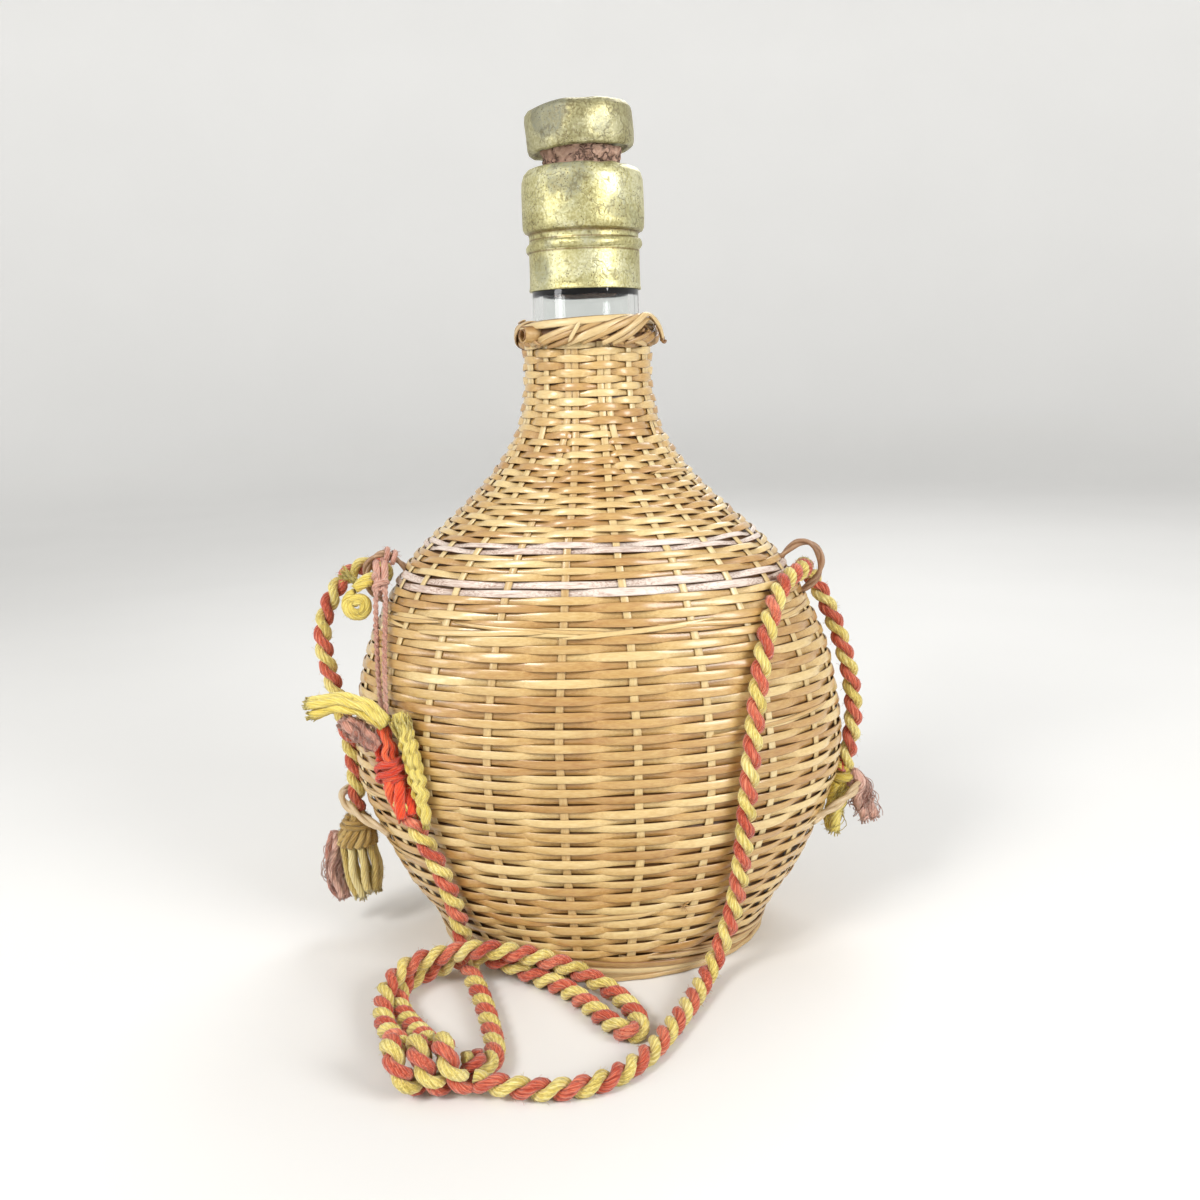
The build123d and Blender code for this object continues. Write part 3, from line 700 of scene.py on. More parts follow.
def spline_line(name, route, steps):
    """Points of the NURBS spline through route, in millimetres, as the curve gives them with no bevel."""
    curve = bpy.data.curves.new(name, "CURVE")
    curve.dimensions = "3D"
    spline = curve.splines.new("NURBS")
    spline.points.add(len(route) - 1)
    for point, place in zip(spline.points, route):
        point.co = (*(c * MM for c in place), 1.0)
    spline.order_u = 3
    spline.use_endpoint_u = True
    spline.resolution_u = curve.resolution_u = steps
    holder = bpy.data.objects.new(name, curve)
    mesh = bpy.data.meshes.new_from_object(holder)
    line = [mesh.vertices[0].co.copy()]
    for vert in mesh.vertices:
        if (vert.co - line[-1]).length > 0.02 * MM:
            line.append(vert.co.copy())
    bpy.data.meshes.remove(mesh)
    bpy.data.objects.remove(holder)
    bpy.data.curves.remove(curve)
    return line


# The basket's outline

def between(low, high, share):
    return low + (high - low) * share


def outline():
    """The basket's levels as (height, half width, half depth), from the foot to past the neck's top."""
    rows = [
        (BELLY_HEIGHT * rise, between(FOOT_HALF[0], BELLY_HALF[0], wide),
         between(FOOT_HALF[1], BELLY_HALF[1], deep))
        for rise, wide, deep in FLANK_SHARES
    ]
    rows += [
        (between(BELLY_HEIGHT, NECK_START, rise), between(NECK_RADIUS, BELLY_HALF[0], wide),
         between(NECK_RADIUS, BELLY_HALF[1], deep))
        for rise, wide, deep in SHOULDER_SHARES
    ]
    return rows + [(NECK_TOP, NECK_RADIUS, NECK_RADIUS), (NECK_TOP * 1.05, NECK_RADIUS, NECK_RADIUS)]


LEVELS = outline()
LEVEL_HEIGHTS = [row[0] for row in LEVELS]


def slope_at(k, part):
    """How fast half width (part 1) or half depth (part 2) grows with height at a level."""
    low, high = LEVELS[max(k - 1, 0)], LEVELS[min(k + 1, len(LEVELS) - 1)]
    return (high[part] - low[part]) / (high[0] - low[0])


def half_sizes(height):
    """Half width and half depth of the basket, smooth between its levels."""
    k = min(max(bisect.bisect_right(LEVEL_HEIGHTS, height) - 1, 0), len(LEVELS) - 2)
    low, high = LEVELS[k], LEVELS[k + 1]
    step = high[0] - low[0]
    t = (height - low[0]) / step
    sizes = []
    for part in (1, 2):
        start, end = slope_at(k, part) * step, slope_at(k + 1, part) * step
        sizes.append(
            (2 * t ** 3 - 3 * t * t + 1) * low[part] + (t ** 3 - 2 * t * t + t) * start
            + (3 * t * t - 2 * t ** 3) * high[part] + (t ** 3 - t * t) * end
        )
    return sizes


def wall_slope(height):
    """Half width and half depth at a height, and how much each grows per metre of rise there."""
    above, below = half_sizes(height + 0.5 * MM), half_sizes(height - 0.5 * MM)
    return (*half_sizes(height), (above[0] - below[0]) / MM, (above[1] - below[1]) / MM)


def wall_directions(slope, sine, cosine):
    """Up along the wall and out of it, where the turn from the front has that sine and cosine."""
    a, b, rise_a, rise_b = slope
    upward = Vector((rise_a * sine, -rise_b * cosine, 1.0)).normalized()
    return upward, Vector((a * cosine, b * sine, 0.0)).normalized().cross(upward)


def wall_point(height, turn, out=0.0):
    """A point of the basket's wall. turn is in stake gaps from the front, out is along the normal."""
    angle = TAU * turn / STAKES
    sine, cosine = math.sin(angle), math.cos(angle)
    slope = wall_slope(height)
    normal = wall_directions(slope, sine, cosine)[1]
    return Vector((slope[0] * sine, -slope[1] * cosine, height)) + normal * out


def outward_at(height, turn):
    return (wall_point(height, turn, MM) - wall_point(height, turn)).normalized()


def smooth(value, low, high):
    """0 below low, 1 above high, with a soft step between."""
    share = min(max((value - low) / (high - low), 0.0), 1.0)
    return share * share * (3 - 2 * share)


def gathered_turns():
    """Each stake's place on the neck, in stake gaps from the front, and the first stake of each post."""
    turns, firsts = [], []
    for post, count in enumerate(NECK_POSTS):
        first = len(turns)
        even = (post + 0.5) * STAKES / len(NECK_POSTS)
        centre = (even + first + count / 2) / 2
        turns += [centre + PAIR_GAP * (n - (count - 1) / 2) for n in range(count)]
        firsts.append(first)
    return turns, firsts


NECK_TURNS, POST_FIRSTS = gathered_turns()


def stake_turn(stake, height):
    """A stake's place at a height, in stake gaps from the front, with a little wander."""
    share = smooth(height, GATHER_FROM, GATHER_TO)
    wander = STAKE_WANDER * noise.noise(Vector((stake * 3.7, height / WANDER_SCALE, 0)))
    return stake + 0.5 + (NECK_TURNS[stake] - stake - 0.5) * share + wander


def post_turns(height):
    """The middles of the posts that a row goes round at that height."""
    turns = [stake_turn(stake, height) for stake in range(STAKES)]
    if height < COURSES["wicker_neck_wall"][0] * MM:
        return turns
    return [
        sum(turns[first:first + count]) / count for first, count in zip(POST_FIRSTS, NECK_POSTS)
    ]


def row_heights(bottom, top, wanted):
    """Heights of the middles of the rows between two heights, and their pitch along the wall."""
    step = 0.25 * MM
    heights, reached = [bottom], [0.0]
    while heights[-1] < top - step / 2:
        low, high = half_sizes(heights[-1]), half_sizes(heights[-1] + step)
        heights.append(heights[-1] + step)
        across = (high[0] + high[1] - low[0] - low[1]) / 2
        reached.append(reached[-1] + math.hypot(step, across))
    count = max(1, round(reached[-1] / wanted))
    pitch = reached[-1] / count
    return [heights[bisect.bisect_left(reached, pitch * (k + 0.5))] for k in range(count)], pitch


# A flat strip's section, as shares of its half width and half thickness
STRIP_SECTION = (
    (-1.0, 0.0), (-0.96, 0.55), (-0.78, 0.9), (0.0, 1.0), (0.78, 0.9), (0.96, 0.55), (1.0, 0.0),
    (0.7, -0.5), (0.0, -0.6), (-0.7, -0.5),
)
STEPS_PER_POST = 10
BOW_GROWS, BOW_FADES = (66 * MM, 108 * MM), (114 * MM, 152 * MM)
BOW_AT_FLANKS, BOW_MORE_IN_FRONT = 1.9, 1.3

# How much the stretches of a row differ: lift and tilt in pitches, width and lean as shares
LIFT_VARIES, TILT_VARIES = 0.07, 0.1
WIDTH_LEAST, WIDTH_MOST = 0.92, 1.09
LEAN_VARIES = 0.22
# A row's slow drift along the wall, and the height over which it changes
ROW_DRIFT = 0.3 * MM
DRIFT_SCALE = 9 * MM


def skin_strip(bm, rings, tone):
    """A flat strip through rings of its centre, half its width and half its thickness, all as vectors."""
    lengths = travel([centre for centre, _, _ in rings])
    sides = len(STRIP_SECTION)

    def place(i, j):
        centre, across, out = rings[i]
        wide_share, out_share = STRIP_SECTION[j % sides]
        return centre + across * wide_share + out * out_share

    skin(bm, len(rings) - 1, sides, place, lengths, tone)


def row_lift(height, turn):
    """How far a row bows up along the wall: most at the front and back, round the bark bands."""
    broad = math.cos(TAU * turn / STAKES) ** 2
    fading = smooth(height, *BOW_GROWS) * (1 - smooth(height, *BOW_FADES))
    return (BOW_AT_FLANKS + BOW_MORE_IN_FRONT * broad) * MM * fading


def woven_row(bm, height, pitch, row, dice, narrow, wide):
    """One row of the weave, over one post and under the next, all the way round.

    Each stretch over a post is a lens of its own: its tone, lift, tilt, width and lean are drawn for it.
    narrow and wide are the strip's width behind a post and in front of one, in pitches.
    """
    posts = post_turns(height)
    lenses = len(posts) // 2
    steps = len(posts) * STEPS_PER_POST
    tones = [dice.random() for _ in range(lenses)]
    lifts = [dice.uniform(-LIFT_VARIES, LIFT_VARIES) * pitch for _ in range(lenses)]
    tilts = [dice.uniform(-TILT_VARIES, TILT_VARIES) * pitch for _ in range(lenses)]
    widths = [dice.uniform(WIDTH_LEAST, WIDTH_MOST) for _ in range(lenses)]
    leans = [dice.uniform(-LEAN_VARIES, LEAN_VARIES) for _ in range(lenses)]
    slope = wall_slope(height + row_lift(height, STAKES / 8))
    pitch *= 1 + (row_lift(height + MM, 0) - row_lift(height - MM, 0)) / (2 * MM)
    rings, tones_with_shade = [], []
    for i in range(steps + 1):
        place = (i % steps) / STEPS_PER_POST
        k = math.floor(place - 0.5)
        low, high = posts[k], posts[(k + 1) % len(posts)]
        low -= STAKES if k < 0 else 0
        high += STAKES if k + 1 == len(posts) else 0
        turn = low + (high - low) * (place - 0.5 - k)
        over = 0.5 + 0.5 * math.cos(math.pi * (place - 0.5 + row))
        firm = over * over * (3 - 2 * over)
        spot = ((place - 0.5 + row) / 2 + 0.5) % lenses
        lens, along = int(spot), (spot % 1 - 0.5) * 2
        angle = TAU * turn / STAKES
        sine, cosine = math.sin(angle), math.cos(angle)
        upward, normal = wall_directions(slope, sine, cosine)
        lifted = height + row_lift(height, turn)
        half_width, half_depth = half_sizes(lifted)
        centre = Vector((half_width * sine, -half_depth * cosine, lifted))
        drift = noise.noise(Vector((sine * 2.2, cosine * 2.2, height / DRIFT_SCALE)))
        centre += upward * ((lifts[lens] + tilts[lens] * along) * over + ROW_DRIFT * drift)
        centre += normal * (WEAVE_REACH * (2 * firm - 1) - STAKE_DEPTH)
        width = pitch * (narrow + (wide - narrow) * over ** 0.9) * widths[lens]
        twist = leans[lens] * over
        across = (upward + normal * twist) * (width / 2)
        rings.append((centre, across, (normal - upward * twist) * STRIP_THICKNESS))
        # Darker where the strip dives behind a post and towards each stretch's ends: painted shade there,
        # with darker stained ends
        tones_with_shade.append(min(max(tones[lens] - 0.3 * (1 - over) ** 2 - 0.06 * along * along, 0.0), 1.0))
    skin_strip(bm, rings, lambda i: tones_with_shade[i])


def shade_liner_wall(bm, bottom, top):
    """A liner close to the glass for the weave's inner faces, coloured dark as painted shade that shows
    between the rows.
    """
    rows, steps, outer, inner = 8, 88, -1.25 * MM, -2.4 * MM
    levels = [bottom + (top - bottom) * k / rows for k in range(rows + 1)]
    section = [(z, outer) for z in levels] + [(z, inner) for z in reversed(levels)]

    def place(i, j):
        height, out = section[j % len(section)]
        return wall_point(height, STAKES * i / steps, out)

    skin(bm, steps, len(section), place, [i * 4 * MM for i in range(steps + 1)], tone=0.0, finish=1)


# Extra strips packed into the weave: where each starts and ends in stake gaps from the front, its heights
# there and its width in millimetres
PACKING = {
    "wicker_belly_wall": [
        (-7.6, -4.9, 98.2, 101.6, 1.8), (-6.6, -3.4, 102.8, 99.4, 1.5), (-5.4, -2.6, 100.0, 102.2, 1.4),
        (-3.2, -0.4, 99.0, 101.4, 1.7), (-2.4, 0.6, 102.6, 100.0, 1.2), (-0.6, 2.0, 99.2, 102.4, 1.5),
        (0.8, 3.8, 102.0, 99.2, 1.6), (2.6, 5.4, 98.8, 101.2, 1.4), (4.2, 7.2, 102.4, 99.6, 1.7),
        (-6.9, -4.4, 52.0, 49.4, 1.7), (-4.6, -1.8, 49.6, 51.8, 1.4), (1.4, 4.2, 71.0, 73.2, 1.3),
        (4.6, 7.4, 50.2, 52.6, 1.6), (8.6, 11.6, 100.2, 98.6, 1.6), (10.4, 13.4, 51.4, 49.8, 1.5),
        (12.8, 15.6, 99.4, 101.6, 1.4),
    ],
    "wicker_lower_wall": [
        (-1.6, 1.0, 19.6, 21.4, 1.6), (-5.2, -2.2, 33.4, 31.8, 1.5), (3.4, 6.0, 36.6, 38.4, 1.5),
        (8.4, 11.0, 27.4, 25.8, 1.6),
    ],
    "wicker_shoulder_wall": [
        (-3.4, -0.8, 131.6, 132.8, 1.3), (2.2, 4.6, 140.6, 139.6, 1.3), (9.4, 12.2, 134.2, 133.0, 1.4),
    ],
}


def pack_weave(bm, strips, dice):
    """Extra strips laid over the rows, their ends tucked in between them."""
    steps = 24
    for start, end, low, high, width in strips:
        points = []
        for k in range(steps + 1):
            share = k / steps
            turn, height = start + (end - start) * share, (low + (high - low) * share) * MM
            out = (0.42 - 1.5 * abs(2 * share - 1) ** 8) * MM
            height += 0.25 * MM * noise.noise(Vector((turn * 1.3, low, 0)))
            points.append((wall_point(height, turn, out), outward_at(height, turn)))
        border_strip(bm, points, width * MM, 0.2 * MM, dice.uniform(0.3, 0.9))


def fray_strip(bm):
    """A strip that has snapped low on the front: its splinters stand off the wall."""
    dice = random.Random(37)
    height, turn, splinters = 22.7 * MM, 1.29, 9
    root = wall_point(height, turn, 0.1 * MM)
    out = outward_at(height, turn)
    for _ in range(splinters):
        lean = Vector((dice.uniform(-1, 1), 0, dice.uniform(-0.9, 1.0)))
        size = dice.uniform(1.2, 2.6) * MM
        path = [
            root + (out * 0.6 * share + lean * share * (0.5 + 0.5 * share)) * size
            for share in (0.0, 0.4, 0.7, 1.0)
        ]
        tube(bm, path, tapered(0.26, -0.2), 5, dice.uniform(0.0, 0.5), flat=0.6)


def weave_covering():
    """The courses of the cover, row by row; each row starts over the post that the last went under."""
    dice = random.Random(7)
    row = 0
    for node, (bottom, top, wanted, narrow, wide) in COURSES.items():
        bm = new_mesh()
        finish, slot = ("bark", "bark") if node.startswith("bark") else ("cane", "wicker")
        heights, pitch = row_heights(bottom * MM, top * MM, wanted * MM)
        for height in heights:
            woven_row(bm, height, pitch, row, dice, narrow, wide)
            row += 1
        pack_weave(bm, PACKING.get(node, ()), dice)
        if node == "wicker_lower_wall":
            fray_strip(bm)
        shade_liner_wall(bm, bottom * MM, top * MM)
        make_piece(node, bm, [finishes[finish], finishes["inner"]], slot, [node])


def set_stakes():
    """The upright stakes, which narrow from the foot to the neck."""
    dice = random.Random(11)
    bm = new_mesh()
    bottom, top = 3.0 * MM, NECK_TOP + 1.5 * MM
    steps = 110
    for stake in range(STAKES):
        tone = dice.random()
        rings = []
        for i in range(steps + 1):
            share = i / steps
            height = bottom + (top - bottom) * share
            turn = stake_turn(stake, height)
            centre = wall_point(height, turn, -STAKE_DEPTH)
            across = (wall_point(height, turn + 0.02, -STAKE_DEPTH) - centre).normalized()
            outward = (wall_point(height, turn, MM) - centre).normalized()
            width = STAKE_WIDTH + (STAKE_NECK_WIDTH - STAKE_WIDTH) * share
            width *= 1 + 0.1 * noise.noise(Vector((stake * 5.1, share * 14, 3)))
            rings.append((centre, across * (width / 2), outward * STAKE_THICKNESS))
        skin_strip(bm, rings, tone)
    make_piece("wicker_stakes", bm, [finishes["stake"]], "wicker", ["wicker_stakes"])


# Foot and neck borders

def border_strip(bm, points, width, thick, tone, tip=0.35):
    """A flat strip along points, each with the way out of the wall there. tip is how wide its ends stay."""
    sides = 8
    line = [point for point, _ in points]
    lengths = travel(line)
    total = lengths[-1]
    rings = [0] + list(range(len(line))) + [len(line) - 1]

    def place(i, j):
        k = rings[i]
        ahead = (line[min(k + 1, len(line) - 1)] - line[max(k - 1, 0)]).normalized()
        out = points[k][1]
        out = (out - ahead * out.dot(ahead)).normalized()
        up = out.cross(ahead)
        share = lengths[k] / total
        size = tip + (1 - tip) * min(1.0, math.sin(math.pi * share) * 1.6)
        if i in (0, len(rings) - 1):
            size = 0.0
        turn = TAU * j / sides
        across = math.cos(turn) * width / 2 * size
        return line[k] + up * across + out * (math.sin(turn) * thick * min(1.0, size * 1.4))

    skin(bm, len(rings) - 1, sides, place, [lengths[k] for k in rings], tone)


def make_foot_border():
    """Long strips that overlap at a low slant, over three rods that run round the foot."""
    dice = random.Random(23)
    bm = new_mesh()
    strips, reach, steps = 18, 5.6, 44
    for strip in range(strips):
        points = []
        lift, start = dice.uniform(-0.3, 0.3) * MM, STAKES * strip / strips + dice.uniform(-0.3, 0.3)
        stretch = dice.uniform(0.9, 1.12)
        for k in range(steps + 1):
            share = k / steps
            turn = start + reach * stretch * share
            height = max((7.6 - 6.4 * share) * MM + lift * math.sin(math.pi * share), 0.9 * MM)
            out = -1.2 * MM + 1.75 * MM * math.sin(math.pi * share ** 0.9) ** 0.5
            points.append((wall_point(height, turn, out), outward_at(height, turn)))
        border_strip(bm, points, dice.uniform(1.9, 2.4) * MM, 0.45 * MM, dice.random())
    around = 176
    for ring, (height, out, size) in enumerate(((1.0, -0.4, 1.0), (2.6, -1.0, 1.1), (4.4, -1.1, 1.1))):
        line = [
            wall_point(height * MM, STAKES * k / around, out * MM + 0.12 * MM * math.sin(k * 1.1 + ring))
            for k in range(around + 1)
        ]
        tube(bm, line, size * MM, 8, dice.random(), side=UP, closed_ends=False)
    make_piece("foot_border", bm, [finishes["rod"]], "wicker", ["wicker_foot_border"])


def make_base_mat():
    """Oval rounds of weave under the foot, with the stakes' ends run in from the wall."""
    dice = random.Random(29)
    bm = new_mesh()
    low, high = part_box("wicker_base_mat")
    middle = low.z + 0.9 * MM + 0.5 * MM
    steps_per_gap = 8
    steps = STAKES * steps_per_gap
    rounds = 11

    def mat_point(angle, share, height):
        return Vector((high.x * share * math.sin(angle), -high.y * share * math.cos(angle), height))

    for ring in range(rounds):
        share = 1 - (ring + 0.4) / (rounds + 2)
        tone = dice.random()
        line = []
        for i in range(steps + 1):
            turn = (i % steps) / steps_per_gap
            wave = math.cos(math.pi * (turn - 0.5 + ring))
            line.append(mat_point(TAU * turn / STAKES, share, middle - 0.55 * MM * wave))
        tube(bm, line, 1.6 * MM, 8, tone, flat=0.35, side=Vector((0, -1, 0)), closed_ends=False)
    for stake in range(STAKES):
        angle = TAU * (stake + 0.5) / STAKES
        line = [mat_point(angle, share, middle) for share in (0.08, 0.3, 0.55, 0.8, 0.99)]
        side = Vector((math.cos(angle), math.sin(angle), 0))
        tube(bm, line, 1.1 * MM, 6, dice.random(), flat=0.5, side=side)
    make_piece("base_mat", bm, [finishes["rod"]], "wicker", ["wicker_base_mat"])


def rim_point(degrees, radius, height):
    """A point by its angle from the front, its radius and its height, all in millimetres."""
    angle = math.radians(degrees)
    return radius * math.sin(angle), -radius * math.cos(angle), height


def rim_strip(bm, route, width, thick, tone, tip):
    """A flat strip laid through points of (degrees, radius, height, how far it faces up in radians)."""
    line = spline_line("rim_strip", [rim_point(*stop[:3]) for stop in route], 6)
    lengths = travel(line)
    points = []
    for point, reached in zip(line, lengths):
        facing = share_of([stop[3] for stop in route], reached / lengths[-1])
        flat = Vector((point.x, point.y, 0)).normalized()
        points.append((point, flat * math.cos(facing) + UP * math.sin(facing)))
    border_strip(bm, points, RIM_STRIP_DRIED * width * MM, thick * MM, tone, tip)


# How much of its width a strip of the neck border keeps as it dries
RIM_STRIP_DRIED = 0.84
# Strips of the neck border at the front: their stops as degrees from the front, radius, height and how far
# the strip faces up, then width, thickness, tone and how wide the ends stay
NECK_STRIPS = [
    ([(-66, 20.2, 180.4, 0.3), (-50, 20.6, 180.9, 0.25), (-24, 20.5, 181.3, 0.3), (3, 20.2, 181.9, 0.4),
      (26, 19.8, 182.4, 0.6), (44, 19.2, 182.9, 0.9), (60, 18.2, 182.6, 1.6), (72, 17.0, 181.2, 2.4)],
     2.9, 0.4, 0.95, 0.5),
    ([(-56, 18.6, 175.9, 0.0), (-44, 19.9, 176.6, 0.0), (-26, 20.7, 178.4, 0.0), (-6, 20.4, 180.6, 0.2),
      (12, 19.2, 182.0, 0.8)], 2.5, 0.42, 0.7, 0.6),
    ([(-48, 18.8, 175.2, 0.0), (-36, 20.4, 176.2, 0.0), (-18, 21.0, 178.0, 0.0), (2, 20.8, 180.2, 0.1),
      (20, 19.8, 181.9, 0.5)], 1.9, 0.42, 0.35, 0.6),
    ([(-34, 19.2, 175.0, 0.0), (-22, 20.3, 175.9, 0.0), (-8, 20.8, 177.4, 0.0), (8, 20.2, 179.4, 0.0)],
     2.0, 0.4, 0.1, 0.6),
    ([(-14, 20.9, 176.0, 0.0), (-10.5, 21.4, 178.0, 0.0), (-7, 21.4, 180.0, 0.0),
      (-4.4, 21.1, 181.7, 0.1)], 1.5, 0.34, 1.0, 0.15),
    ([(-16, 19.6, 175.4, 0.0), (-8, 20.8, 176.8, 0.0), (10, 21.4, 179.4, 0.0), (28, 21.0, 181.5, 0.2),
      (44, 19.8, 182.4, 0.8), (56, 18.2, 181.6, 1.8)], 3.0, 0.45, 0.8, 0.45),
    ([(-4, 19.8, 175.8, 0.0), (6, 20.8, 177.4, 0.0), (22, 21.6, 179.8, 0.0), (38, 21.4, 182.0, 0.2),
      (50, 20.4, 183.2, 0.8), (62, 18.6, 182.2, 1.8)], 2.3, 0.42, 0.45, 0.6),
    ([(6, 19.9, 177.9, 0.0), (16, 20.6, 176.9, 0.0), (28, 20.4, 175.8, 0.0), (38, 19.4, 175.2, 0.0)],
     1.9, 0.36, 0.25, 0.5),
    ([(24, 20.2, 178.6, 0.0), (34, 20.9, 176.9, 0.0), (46, 20.8, 175.6, 0.0), (56, 19.8, 175.0, 0.0)],
     2.1, 0.36, 0.6, 0.5),
]
# The strips of the turned rod at the border's right
LOOP_STRIPS = [
    ([(12, 20.2, 175.6, 0.0), (22, 21.4, 177.2, 0.0), (34, 21.9, 179.8, 0.0), (43, 21.7, 182.0, 0.2),
      (49, 21.6, 183.3, 0.8), (55, 21.9, 182.9, 0.9), (61, 22.5, 181.0, 0.2), (67, 22.8, 178.6, 0.0),
      (71, 22.6, 176.4, 0.0)], 2.2, 0.45, 0.75, 0.8),
    ([(20, 20.2, 175.4, 0.0), (30, 21.3, 177.0, 0.0), (40, 21.6, 179.2, 0.0), (49, 21.2, 181.4, 0.3),
      (57, 20.8, 182.6, 1.0), (65, 21.4, 181.2, 0.5), (71, 22.0, 178.6, 0.0), (75, 21.8, 176.2, 0.0)],
     2.0, 0.42, 0.5, 0.8),
    ([(30, 20.4, 175.4, 0.0), (40, 21.2, 176.4, 0.0), (50, 21.2, 177.4, 0.0), (60, 20.6, 178.6, 0.0)],
     1.7, 0.4, 0.2, 0.5),
]


def make_neck_border():
    """Flat rods plaited round the neck: each rises to the right, turns in over the rim and dives."""
    dice = random.Random(31)
    bm = new_mesh()
    rods, first, last = 11, 58, 262
    for rod in range(rods):
        at = first + (last - first) * rod / (rods - 1) + dice.uniform(-3, 3)
        up, out = dice.uniform(-0.3, 0.3), dice.uniform(-0.2, 0.2)
        rim_strip(bm, [
            (at - 10, 18.2, 175.2, 0.0), (at - 1, 19.8 + out, 175.9, 0.0),
            (at + 12, 20.7 + out, 177.9 + up, 0.0), (at + 26, 20.3 + out, 180.4 + up, 0.3),
            (at + 38, 19.2, 181.9 + up, 1.0),
            (at + 50, 17.6, 181.6 + up, 2.0), (at + 60, 16.7, 179.6, 2.9),
        ], dice.uniform(2.5, 3.1), 0.42, dice.random(), tip=0.6)
        rim_strip(bm, [
            (at + 2, 18.5, 180.9, 0.4), (at + 12, 19.5, 179.9 + up, 0.1),
            (at + 24, 19.7, 177.8 + up, 0.0), (at + 34, 19.2, 176.2, 0.0), (at + 42, 18.0, 175.2, 0.0),
        ], dice.uniform(2.1, 2.6), 0.4, dice.uniform(0.0, 0.7), tip=0.6)
    for start in (52, 128, 206):
        rim_strip(bm, [
            (start + 14 * k, 19.9 - 0.25 * k, 181.2 + 0.25 * k, 0.35 + 0.2 * k) for k in range(7)
        ], 2.4, 0.38, dice.uniform(0.7, 1.0), tip=0.4)
    for route, width, thick, tone, tip in NECK_STRIPS:
        rim_strip(bm, route, width, thick, tone, tip)
    # A core rod under the plaited rods, its dark colour painted shade that shows in the gaps between them
    around = 96
    core = [Vector(rim_point(360 * k / around, 17.7, 178.4)) * MM for k in range(around + 1)]
    tube(bm, core, 2.5 * MM, 10, 0.0, flat=0.6, side=UP, finish=1, closed_ends=False)
    make_piece("neck_border", bm, [finishes["rod"], finishes["inner"]], "wicker", ["neck_border"])


def make_border_roll():
    """The strip's end that is rolled up at the border's left, and the strip that it comes from."""
    bm = new_mesh()
    low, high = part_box("neck_border_roll")
    middle = (low + high) / 2 + Vector((0, 0, -1.3 * MM))
    outward = Vector((middle.x, middle.y, 0)).normalized()
    heading = Vector((-0.82, -0.57, 0.0))
    length, along, around, windings = 5.0 * MM, 8, 40, 1.5

    def place(i, j):
        turn = TAU * (windings * j / around + 0.2)
        radius = (2.15 - 1.15 * j / around) * (1 + 0.06 * i / along) * MM
        return (
            middle - outward * 2.2 * MM + heading * (length * (0.55 - i / along))
            + heading.cross(UP) * (math.cos(turn) * radius) + Vector((0, 0, math.sin(turn) * radius))
        )

    skin(bm, along, around, place, [length * i / along for i in range(along + 1)], 0.3)
    bmesh.ops.recalc_face_normals(bm, faces=bm.faces)
    bmesh.ops.solidify(bm, geom=bm.faces[:], thickness=0.34 * MM)
    rim_strip(bm, [
        (-62, 19.8, 179.2, 0.2), (-54, 20.8, 178.8, 0.1), (-46, 21.2, 177.0, 0.0), (-38, 20.8, 175.6, 0.0),
    ], 1.5, 0.32, 0.2, tip=0.5)
    make_piece("neck_border_roll", bm, [finishes["rod"]], "wicker", ["neck_border_roll"])


def make_border_bulge():
    """The rod that turns over the border's right, with cut ends and a small curl under it."""
    bm = new_mesh()
    for route, width, thick, tone, tip in LOOP_STRIPS:
        rim_strip(bm, route, width, thick, tone, tip)
    for degrees, height, lean in ((50.5, 180.4, -0.5), (46.5, 178.6, 0.4), (53.5, 178.4, 0.1)):
        end = [
            Vector(rim_point(degrees + lean * k, 19.8 + 0.55 * k, height + 0.12 * k)) * MM
            for k in range(4)
        ]
        tube(bm, end, 0.62 * MM, 7, 0.15, flat=0.7)
    curl = []
    for k in range(17):
        turn = 0.4 * k
        curl.append(Vector(rim_point(
            72 + 3.0 * math.cos(turn), 22.4 + 0.03 * k, 176.2 + 0.75 * math.sin(turn)
        )) * MM)
    tube(bm, curl, 0.5 * MM, 8, 0.0, flat=0.6)
    make_piece("neck_border_bulge", bm, [finishes["rod"]], "wicker", ["neck_border_bulge"])


# Capsule and stopper

HEAD_HEIGHT = 228 * MM
HEAD_TILT = math.radians(-3.4)


def lathe(bm, profile, steps, cuts, closed=False):
    """The outline of (radius, height) in millimetres, spun round the axis."""
    spin_outline(bm, [bm.verts.new((r * MM, 0, z * MM)) for r, z in profile], steps, cuts, closed)
    bmesh.ops.recalc_face_normals(bm, faces=bm.faces)


def off_axis(vert):
    """How far the point is from the axis, and the direction out to it, which is nought on the axis."""
    flat = Vector((vert.co.x, vert.co.y, 0))
    return flat.length, flat.normalized()


def clamped(value):
    return max(0.0, min(1.0, value))


def rough_up(bm, amount, scale, seed, above):
    """Pushes points above a height in and out along the radius, by noise of that scale in metres."""
    for vert in bm.verts:
        if vert.co.z > above:
            vert.co += off_axis(vert)[1] * (noise.noise(vert.co / scale + Vector((seed, 0, 0))) * amount)


